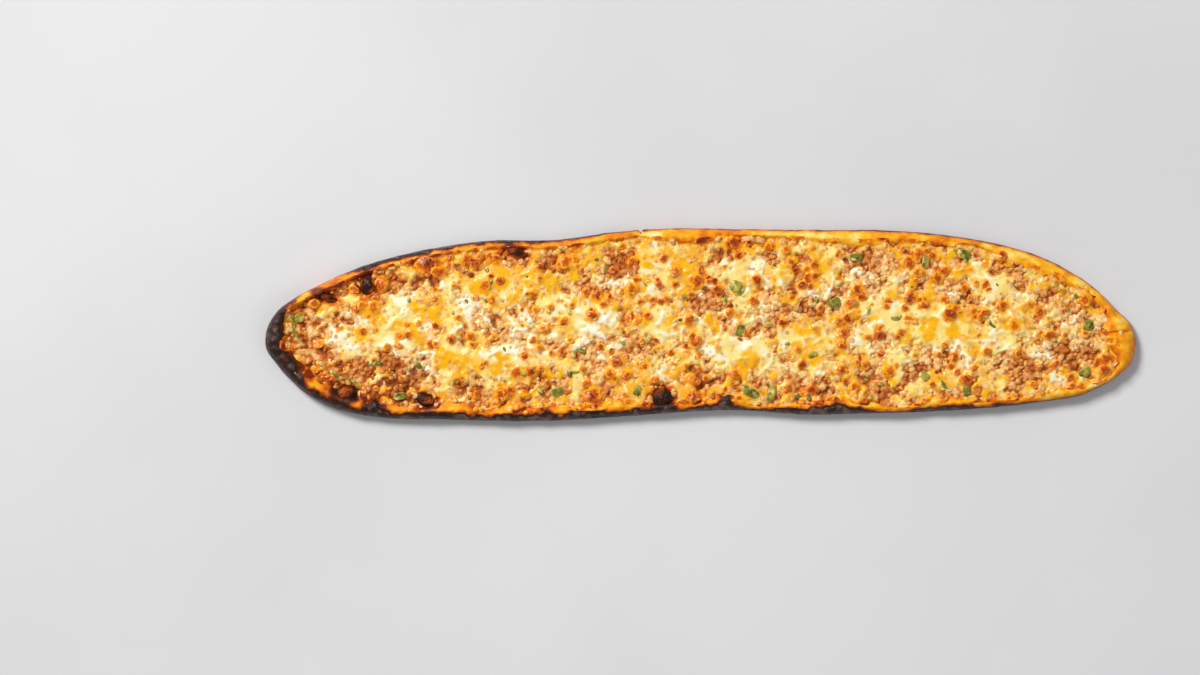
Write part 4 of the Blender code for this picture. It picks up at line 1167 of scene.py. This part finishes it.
@functools.lru_cache(maxsize=None)
def pepper_material():
    """Cooked green pepper: glossy skin, paler flesh at the cut edges."""
    colours = bpy.context.scene.pide_filling
    material, wire, shader, texture = start_material("green_pepper_skin", 0.0022, 0.0006)
    flesh = wire.reckon("ADD", wire.mask("flesh"), wire.swing(texture["Blotch"], 1.0), limited=True)
    stops = [
        (0.0, linear(78, 74, 12)), (0.3, tuple(colours.pepper)), (0.6, linear(178, 166, 62)),
        (1.0, linear(222, 204, 122)),
    ]
    smear = wire.between(wire.noise(260.0, 3.0, 0.6), 0.52, 0.66, 0.0, 0.75)
    colour = wire.mix(smear, wire.ramp(flesh, stops), tuple(colours.cheese_film))
    roughness = wire.between(texture["Grain"], 0.3, 0.7, 0.2, 0.36)
    finish_material(wire, shader, texture["Height"], colour, roughness, 0.35, 0.4, 0.0006)
    return material


# Scattered grains

def grain_tree():
    """Geometry nodes that set a lump on every point, rough up its form and give it a material."""
    tree = bpy.data.node_groups.get("Food grains")
    if tree:
        return tree
    tree = bpy.data.node_groups.new("Food grains", "GeometryNodeTree")
    sockets = (
        ("Geometry", "INPUT", "NodeSocketGeometry", None),
        ("Detail", "INPUT", "NodeSocketInt", 2),
        ("Flatness", "INPUT", "NodeSocketVector", (1, 1, 0.85)),
        ("Dents", "INPUT", "NodeSocketFloat", 0.0008),
        ("Dent Size", "INPUT", "NodeSocketFloat", 0.0018),
        ("Tilt", "INPUT", "NodeSocketFloat", 3.14),
        ("Seed", "INPUT", "NodeSocketInt", 1),
        ("Material", "INPUT", "NodeSocketMaterial", None),
        ("Geometry", "OUTPUT", "NodeSocketGeometry", None),
    )
    for name, way, kind, default in sockets:
        socket = tree.interface.new_socket(name, in_out=way, socket_type=kind)
        if default is not None:
            socket.default_value = default
    wire = Wiring(tree)
    given = wire.node("NodeGroupInput").outputs
    lump = wire.node("GeometryNodeMeshIcoSphere", {"Radius": 1.0, "Subdivisions": given["Detail"]})
    place = wire.node("GeometryNodeInputPosition").outputs[0]
    height = wire.node("ShaderNodeSeparateXYZ", {0: place}).outputs["Z"]
    marking = {"Geometry": lump.outputs["Mesh"], "Name": "top", "Value": height}
    marked = wire.node("GeometryNodeStoreNamedAttribute", marking, data_type="FLOAT")
    radius = wire.node("GeometryNodeInputNamedAttribute", {"Name": "lump_radius"}, data_type="FLOAT")
    size = wire.scaled(given["Flatness"], radius.outputs["Attribute"])
    most = {"X": given["Tilt"], "Y": given["Tilt"], "Z": math.pi}
    tilt = wire.node("ShaderNodeCombineXYZ", most).outputs[0]
    limits = {0: wire.scaled(tilt, -1.0), 1: tilt, "Seed": given["Seed"]}
    turn = wire.node("FunctionNodeRandomValue", limits, data_type="FLOAT_VECTOR").outputs[0]
    points = wire.node("GeometryNodeMeshToPoints", {"Mesh": given["Geometry"], "Radius": MM}).outputs[0]
    seats = {"Points": points, "Instance": marked.outputs[0], "Rotation": turn, "Scale": size}
    placed = wire.node("GeometryNodeInstanceOnPoints", seats).outputs[0]
    real = wire.node("GeometryNodeRealizeInstances", {"Geometry": placed}).outputs[0]
    finer = wire.reckon("DIVIDE", 1.0, given["Dent Size"])
    rough = wire.node("ShaderNodeTexNoise", {"Scale": finer, "Detail": 2.0}).outputs["Color"]
    middle = {0: rough, 1: (0.5, 0.5, 0.5)}
    centred = wire.node("ShaderNodeVectorMath", middle, operation="SUBTRACT").outputs[0]
    offset = wire.scaled(centred, given["Dents"])
    dented = wire.node("GeometryNodeSetPosition", {"Geometry": real, "Offset": offset}).outputs[0]
    smooth = wire.node("GeometryNodeSetShadeSmooth", {"Geometry": dented}).outputs[0]
    dressed = {"Geometry": smooth, "Material": given["Material"]}
    wire.node("NodeGroupOutput", {0: wire.node("GeometryNodeSetMaterial", dressed).outputs[0]})
    return tree


def scatter(name, points, radii, material, masks, **inputs):
    """A piece of real lumps at the points, in millimetres, through the grain nodes."""
    start = new_piece(name + "_points", points, [], material, lump_radius=np.asarray(radii) * MM, **masks)
    tree = grain_tree()
    modifier = start.modifiers.new("grains", "NODES")
    modifier.node_group = tree
    identifiers = {s.name: s.identifier for s in tree.interface.items_tree if s.in_out == "INPUT"}
    modifier[identifiers["Material"]] = material
    for key, value in inputs.items():
        modifier[identifiers[key.replace("_", " ").title()]] = value
    graph = bpy.context.evaluated_depsgraph_get()
    mesh = bpy.data.meshes.new_from_object(start.evaluated_get(graph))
    mesh.name = name
    start.modifiers.remove(modifier)
    bpy.data.objects.remove(start)
    piece = bpy.data.objects.new(name, mesh)
    bpy.context.scene.collection.objects.link(piece)
    return piece


def ride(piece, slot, *nodes):
    """Fixes a piece to the pide, for the nodes that it replaces; slot is not used."""
    points_out(piece)
    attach(piece, BODY)
    if nodes:
        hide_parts(*nodes)


# Operators, one for each piece or group of like pieces

class PIDE_OT_crust(bpy.types.Operator):
    """Build the dough boat with its wrinkled, partly scorched rim"""
    bl_idname = "pide.crust"
    bl_label = "Crust"

    def execute(self, context):
        points, bake = crust_form()
        spine_x = rim_stations()[0][:, 0] * 0.82
        spine = np.column_stack([spine_x, middle_line(spine_x)])
        foot = points[:, 0, :2]
        under, under_bake = [], []
        for share in (0.97, 0.85, 0.7, 0.52, 0.36, 0.22, 0.1, 0.03):
            ring = foot + (spine - foot) * share
            dimple = 0.35 * smoothstep(-0.1, 0.8, fractal(ring[:, 0], ring[:, 1], 11, 151))
            under.append(np.column_stack([ring, dimple * smoothstep(0, 0.25, share)]))
            spotty = 0.3 + 0.22 * fractal(ring[:, 0], ring[:, 1], 16, 157)
            spotty += 0.35 * smoothstep(0.35, 0.9, fractal(ring[:, 0], ring[:, 1], 6, 163))
            under_bake.append(spotty)
        corners = np.concatenate([np.stack(under, axis=1), points], axis=1)
        baked = np.concatenate([np.stack(under_bake, axis=1), bake], axis=1)
        faces = closed_faces(*corners.shape[:2])
        piece = new_piece("crust", corners.reshape(-1, 3), faces, crust_material(), bake=baked)
        ride(piece, "dough", "dough_boat")
        return {"FINISHED"}


class PIDE_OT_bubbles(bpy.types.Operator):
    """Build the blown, scorched bubbles of dough on the rim"""
    bl_idname = "pide.bubbles"
    bl_label = "Scorched bubbles"

    def execute(self, context):
        columns, rows, foot = 56, 26, 4.5
        around = np.arange(columns) / columns * 2 * math.pi
        down = np.linspace(0.02, 0.62, rows) * math.pi
        a, d = np.meshgrid(around, down, indexing="ij")
        unit_x, unit_y, unit_z = np.cos(a) * np.sin(d), np.sin(a) * np.sin(d), np.cos(d)
        corners, baked, faces = [], [], []
        for number, (x, y, length, width, turn, top) in enumerate(BUBBLES):
            shift = 40 * number
            lumps = fractal(unit_x * 9 + shift, unit_y * 9 + unit_z * 5, 6, 167)
            creases = np.abs(fractal(unit_x * 9 + shift, unit_y * 9 - unit_z * 4, 3.4, 173))
            swell = (1 + 0.1 * lumps - 0.1 * (1 - smoothstep(0, 0.25, creases))) / 1.08
            along_bubble, across = unit_x * length / 2 * swell, unit_y * width / 2 * swell
            px, py = turned(x, y, along_bubble, across, turn)
            pz = foot + unit_z * (top - foot) * swell
            corners.append(np.stack([px, py, pz], axis=2).reshape(-1, 3))
            top_bake, edge_bake = BUBBLE_BAKES[number]
            bake = top_bake + (edge_bake - top_bake) * smoothstep(0.35, 0.9, np.sin(d)) + 0.16 * lumps
            baked.append(bake.ravel())
            faces += closed_faces(columns, rows, number * columns * rows)
        bake = np.concatenate(baked)
        piece = new_piece("scorched_bubbles", np.vstack(corners), faces, crust_material(), bake=bake)
        ride(piece, "dough")
        return {"FINISHED"}


class PIDE_OT_meat_bed(bpy.types.Operator):
    """Build the greasy bed of minced meat that shows between the crumbs"""
    bl_idname = "pide.meat_bed"
    bl_label = "Meat bed"

    def execute(self, context):
        x, y = filling_grid(BED_STEP)
        ground = crust_height(x, y)
        meat = meat_field()
        hollow = sample(blur(meat, 3.2) - meat, x, y)
        z = sample(blur(meat, 0.7), x, y) - 0.2
        z = np.where(ground > z - 0.6, np.minimum(z, ground - 0.3), z)
        z[[0, -1]] = np.minimum(z[[0, -1]], HIDDEN_BED_EDGE)
        z[:, [0, -1]] = np.minimum(z[:, [0, -1]], HIDDEN_BED_EDGE)
        # Painted shade: where the bed lies lower than round about it is painted darker, with less pale
        # cheese film
        tone = meat_tone(x, y) + 0.1 - 0.42 * smoothstep(-0.2, 0.9, hollow)
        film = meat_film(x, y) - 0.3 * smoothstep(-0.3, 0.6, hollow)
        top = np.stack([x, y, z], axis=2)
        piece = slab("meat_bed", top, BASE_THICKNESS + 0.3, meat_material(), tone=tone, film=film)
        ride(piece, "minced_meat", "minced_meat")
        return {"FINISHED"}


class PIDE_OT_meat_crumbs(bpy.types.Operator):
    """Scatter the crumbs of meat that stand through the cheese"""
    bl_idname = "pide.meat_crumbs"
    bl_label = "Meat crumbs"

    def execute(self, context):
        every = crumbs()
        draw = np.random.default_rng(CRUMB_SEED + 2)
        cheese, _ = filling()
        x, y, z, radius, _ = every.T
        shows = (z + radius - sample(cheese, x, y) > 0.3) & (draw.random(x.size) < LOOSE_SHARE)
        shows &= (sample(blister_fields()[1], x, y) < 0.3) | (sample(cover_field(), x, y) < -0.15)
        coarse = radius > COARSE_CRUMB
        for name, kept, detail in (("meat_crumbs", shows & coarse, 3), ("meat_grains", shows & ~coarse, 2)):
            chosen = every[kept]
            film = meat_film(chosen[:, 0], chosen[:, 1]) + draw.normal(0, 0.08, len(chosen))
            piece = scatter(
                name, chosen[:, :3], chosen[:, 3], meat_material(), {"tone": chosen[:, 4], "film": film},
                detail=detail, flatness=(1.3, 0.9, 0.85), dents=2.6 * MM, dent_size=2.2 * MM, tilt=0.8,
                seed=CRUMB_SEED,
            )
            ride(piece, "minced_meat")
        return {"FINISHED"}


class PIDE_OT_cheese(bpy.types.Operator):
    """Build the sheet of melted cheese with its strands and toasted bubbles"""
    bl_idname = "pide.cheese"
    bl_label = "Melted cheese"

    def execute(self, context):
        x, y = filling_grid(SHEET_STEP)
        cheese, masks = filling()
        ground = crust_height(x, y)
        z = sample(cheese, x, y)
        for places, reach, level in ((PEPPERS, 0.85, FILLING_LEVEL), (BUBBLES, 0.8, 6.5)):
            for place in places:
                under = oval_distance(x, y, oval_of(place)) < reach
                z = np.where(under, np.minimum(z, level), z)
        rise = np.maximum(ground - z, 0)
        grip = 0.36 - 0.18 * smoothstep(-190, -225, x)
        grip = grip - 0.26 * smoothstep(-30, -80, x) * (y > 0) * (x > -215)
        lap = 0.62 + 0.85 * fractal(x, y, 6, 181) + 0.3 * fractal(x, y, 2.4, 182, 2) - grip * rise
        lapping = (ground - z > -0.4) & (ground > BASE_THICKNESS + 1.5)
        z = np.where(lapping, np.maximum(z, ground + np.clip(lap, -0.8, 0.8)), z)
        z[[0, -1]] = HIDDEN_SHEET_EDGE
        z[:, [0, -1]] = HIDDEN_SHEET_EDGE
        masks = {mask: sample(values, x, y) for mask, values in masks.items()}
        lapped = smoothstep(-0.3, 0.6, ground - sample(cheese, x, y))
        masks["toast"] += lapped * (0.34 + 0.35 * fractal(x, y, 4, 183))
        masks["fat_and_shade"] += 0.4 * lapped
        masks["veil"] *= 1 - lapped
        top = np.stack([x, y, z], axis=2)
        piece = slab("cheese_sheet", top, CHEESE_LOW[2] - 0.2, cheese_material(), **masks)
        ride(piece, "melted_cheese", "melted_cheese")
        return {"FINISHED"}


class PIDE_OT_toasted_bubbles(bpy.types.Operator):
    """Scatter the small browned bubbles that stand on the cheese"""
    bl_idname = "pide.toasted_bubbles"
    bl_label = "Toasted bubbles"

    def execute(self, context):
        x, y, radius, dark = np.array(toasted_places()).T
        cheese, _ = filling()
        surface = np.maximum(sample(cheese, x, y), sample(meat_field(), x, y) - 0.3)
        ground = crust_height(x, y)
        lower, upper = crest_lines()
        kept = (ground < surface - 0.2) & (dark > 0.5) & (radius > 1.9)
        kept &= (y > np.interp(x, *lower) + 2) & (y < np.interp(x, *upper) - 2) & (np.abs(x) < 236)
        for pepper in PEPPERS:
            kept &= oval_distance(x, y, oval_of(pepper)) > 1.2
        x, y, radius, dark, surface = (values[kept] for values in (x, y, radius, dark, surface))
        radius = 0.7 * radius
        piece = scatter(
            "toasted_bubbles", np.column_stack([x, y, surface - 0.1 * radius]), radius, toasted_material(),
            {"tone": 1.1 * dark - 0.6}, detail=3, flatness=(1.2, 0.9, 0.3), dents=2.4 * MM,
            dent_size=2.4 * MM, tilt=0.3, seed=SPOT_SEED,
        )
        ride(piece, "melted_cheese")
        return {"FINISHED"}


class PIDE_OT_pepper_pieces(bpy.types.Operator):
    """Build the larger pieces of green pepper"""
    bl_idname = "pide.pepper_pieces"
    bl_label = "Pepper pieces"

    def execute(self, context):
        columns, rows, wall = 30, 26, 1.9
        around = np.arange(columns) / columns * 2 * math.pi
        a, s = np.meshgrid(around, np.linspace(-1, 1, rows), indexing="ij")
        taper = np.sqrt(np.maximum(1 - np.abs(s) ** 3.2, 0.02))
        edge = 0.45 * smoothstep(0.6, 1.0, np.abs(np.cos(a))) + 0.35 * smoothstep(0.75, 1.0, np.abs(s))
        faces = closed_faces(columns, rows)
        for number, (x, y, length, width, turn) in enumerate(PEPPERS, start=1):
            node = f"pepper_{number:02d}"
            low, high = box_mm(node)
            wave = 1 + 0.1 * fractal(s * 6 + number * 31, np.cos(a) * 3, 2.2, 191)
            across = np.sign(np.cos(a)) * np.abs(np.cos(a)) ** 0.6 * width / 2 * taper * wave / 1.05
            lift = np.sign(np.sin(a)) * np.abs(np.sin(a)) ** 0.7 * wall / 2 * (0.35 + 0.65 * taper)
            arch = 0.55 * (1 - s * s) + 0.35 * (across / width * 2) ** 2
            dents = 0.16 * fractal(s * 5 + number * 17, across, 1.4, 193)
            px, py = turned(x, y, s * length / 2 / 1.03, across, turn)
            pz = np.minimum(low[2] + wall / 2 + lift + arch + dents - 0.15, high[2] + 0.1)
            flesh = 0.26 + edge + 0.3 * fractal(px, py, 2.6, 197, 2)
            flesh += 0.3 * (np.sin(a) < -0.2) + 0.12 * math.sin(number * 2.4)
            corners = np.stack([px, py, pz], axis=2).reshape(-1, 3)
            piece = new_piece(f"pepper_piece_{number:02d}", corners, faces, pepper_material(), flesh=flesh)
            ride(piece, "green_pepper", node)
        return {"FINISHED"}


class PIDE_OT_pepper_flecks(bpy.types.Operator):
    """Scatter the small flecks of green pepper"""
    bl_idname = "pide.pepper_flecks"
    bl_label = "Pepper flecks"

    def execute(self, context):
        draw = np.random.default_rng(CRUMB_SEED + 1)
        every = crumbs()
        cheese, _ = filling()
        chosen = every[draw.choice(len(every), 34, replace=False)]
        small = [(x, y, draw.uniform(0.7, 1.5)) for x, y, *_ in chosen]
        places = np.array(PEPPER_BITS + small)
        x, y, radius = places.T
        surface = np.maximum(sample(cheese, x, y), sample(meat_field(), x, y) - 0.2)
        z = np.maximum(surface, crust_height(x, y)) + 0.05 * radius
        flesh = draw.uniform(0.1, 0.75, len(places))
        piece = scatter(
            "pepper_flecks", np.column_stack([x, y, z]), radius, pepper_material(), {"flesh": flesh},
            detail=2, flatness=(1.35, 0.8, 0.45), dents=1.4 * MM, dent_size=1.6 * MM, tilt=0.5,
            seed=CRUMB_SEED,
        )
        ride(piece, "green_pepper")
        return {"FINISHED"}


class PIDE_OT_pepper_strips(bpy.types.Operator):
    """Build the thin curled strips of green pepper"""
    bl_idname = "pide.pepper_strips"
    bl_label = "Pepper strips"

    def execute(self, context):
        columns, rows = 10, 30
        around = np.arange(columns)[:, None] / columns * 2 * math.pi
        share = np.linspace(-1, 1, rows)
        edge = 0.25 + 0.5 * smoothstep(0.6, 1, np.abs(np.cos(around)))
        surface = np.maximum(filling()[0], meat_field())
        corners, fleshes, faces = [], [], []
        for number, (x, y, length, width, turn, bend) in enumerate(PEPPER_STRIPS):
            heading = math.radians(turn) + math.radians(bend) * share
            step = length / (rows - 1)
            line_x = x + np.cumsum(np.cos(heading)) * step
            line_y = y + np.cumsum(np.sin(heading)) * step
            line_x, line_y = line_x - line_x.mean() + x, line_y - line_y.mean() + y
            ragged = 1 + 0.15 * noise(share * 7, share * 0 + number, 1, 211)
            narrow = np.sqrt(1.02 - np.abs(share) ** 3) * ragged
            across = np.cos(around) * width / 2 * narrow
            seat = blur(sample(surface, line_x, line_y)[None], 2.0)[0] - 0.1
            px, py = line_x - across * np.sin(heading), line_y + across * np.cos(heading)
            pz = seat + np.sin(around) * width / 4 * narrow
            corners.append(np.stack([px, py, pz], axis=2).reshape(-1, 3))
            fleshes.append((edge + 0.1 * fractal(px, py, 2, 213)).ravel())
            faces += closed_faces(columns, rows, number * columns * rows)
        flesh = np.concatenate(fleshes)
        piece = new_piece("pepper_strips", np.vstack(corners), faces, pepper_material(), flesh=flesh)
        ride(piece, "green_pepper")
        return {"FINISHED"}


class PIDE_OT_stage(bpy.types.Operator):
    """Set the plain floor, the soft studio light and the camera straight above"""
    bl_idname = "pide.stage"
    bl_label = "Stage"

    def execute(self, context):
        settings = context.scene.pide_stage
        scene = context.scene
        scene.view_settings.view_transform = "Standard"
        material = bpy.data.materials.new("plain_floor")
        material.use_nodes = True
        wire = Wiring(material.node_tree)
        shader = material.node_tree.nodes["Principled BSDF"]
        floor = tuple(settings.floor)
        darker = tuple(c * 0.93 for c in floor)
        share = wire.between(wire.noise(3.0, 5.0), 0.35, 0.65)
        wire.put(shader.inputs["Base Color"], wire.mix(share, darker, floor))
        shader.inputs["Roughness"].default_value = 0.8
        ways = ((-1, -1), (1, -1), (1, 1), (-1, 1))
        corners = [(x * FLOOR_HALF, y * FLOOR_HALF, FLOOR_TOP) for x, y in ways]
        new_piece("floor", corners, [(0, 1, 2, 3)], material)

        world = scene.world or bpy.data.worlds.new("studio")
        scene.world = world
        world.use_nodes = True
        background = world.node_tree.nodes["Background"]
        background.inputs["Color"].default_value = (1, 1, 1, 1)
        background.inputs["Strength"].default_value = settings.fill

        aim = Vector((0, 0, 0.01))
        lamps = (
            ("key", Vector((-1.9, 1.9, 2.6)), 1.1, settings.key_power),
            ("soft_side", Vector((2.2, -1.4, 2.8)), 2.4, settings.key_power * 0.15),
        )
        for name, place, size, power in lamps:
            lamp = bpy.data.lights.new(name, "AREA")
            lamp.energy = power
            lamp.color = LIGHT_TINT
            lamp.size = size
            holder = bpy.data.objects.new(name, lamp)
            holder.location = place
            holder.rotation_euler = (place - aim).to_track_quat("Z", "Y").to_euler()
            scene.collection.objects.link(holder)

        frame_width = LENGTH * MM * PICTURE_PIXELS / PIDE_PIXELS
        height = settings.camera_height
        camera = bpy.data.objects.new("camera", bpy.data.cameras.new("camera"))
        camera.data.sensor_width = SENSOR_WIDTH
        camera.data.lens = SENSOR_WIDTH * height / frame_width
        camera.data.clip_end = 20
        camera.location = Vector((*PICTURE_MIDDLE, RIM_HEIGHT)) * MM + Vector((0, 0, height))
        scene.collection.objects.link(camera)
        scene.camera = camera
        return {"FINISHED"}


OPERATORS = (
    PIDE_OT_stage, PIDE_OT_crust, PIDE_OT_bubbles, PIDE_OT_meat_bed, PIDE_OT_meat_crumbs, PIDE_OT_cheese,
    PIDE_OT_toasted_bubbles, PIDE_OT_pepper_pieces, PIDE_OT_pepper_strips, PIDE_OT_pepper_flecks,
)


class PIDE_PT_panel(bpy.types.Panel):
    """The pide's pieces and settings"""
    bl_idname = "PIDE_PT_panel"
    bl_label = "Cheese Pide"
    bl_space_type = "VIEW_3D"
    bl_region_type = "UI"
    bl_category = "Pide"

    def draw(self, context):
        layout = self.layout
        for settings in (context.scene.pide_crust, context.scene.pide_filling, context.scene.pide_stage):
            box = layout.box()
            for name in settings.__annotations__:
                box.prop(settings, name)
        for operator in OPERATORS:
            layout.operator(operator.bl_idname)


SETTINGS = (
    ("pide_crust", PideCrustSettings),
    ("pide_filling", PideFillingSettings),
    ("pide_stage", PideStageSettings),
)


def register():
    for name, group in SETTINGS:
        bpy.utils.register_class(group)
        setattr(bpy.types.Scene, name, PointerProperty(type=group))
    for made in (*OPERATORS, PIDE_PT_panel):
        bpy.utils.register_class(made)


def unregister():
    for made in (PIDE_PT_panel, *reversed(OPERATORS)):
        bpy.utils.unregister_class(made)
    for name, group in reversed(SETTINGS):
        delattr(bpy.types.Scene, name)
        bpy.utils.unregister_class(group)


def main():
    register()
    for operator in OPERATORS:
        getattr(bpy.ops.pide, operator.bl_idname.split(".")[1])()


if __name__ == "__main__":
    main()
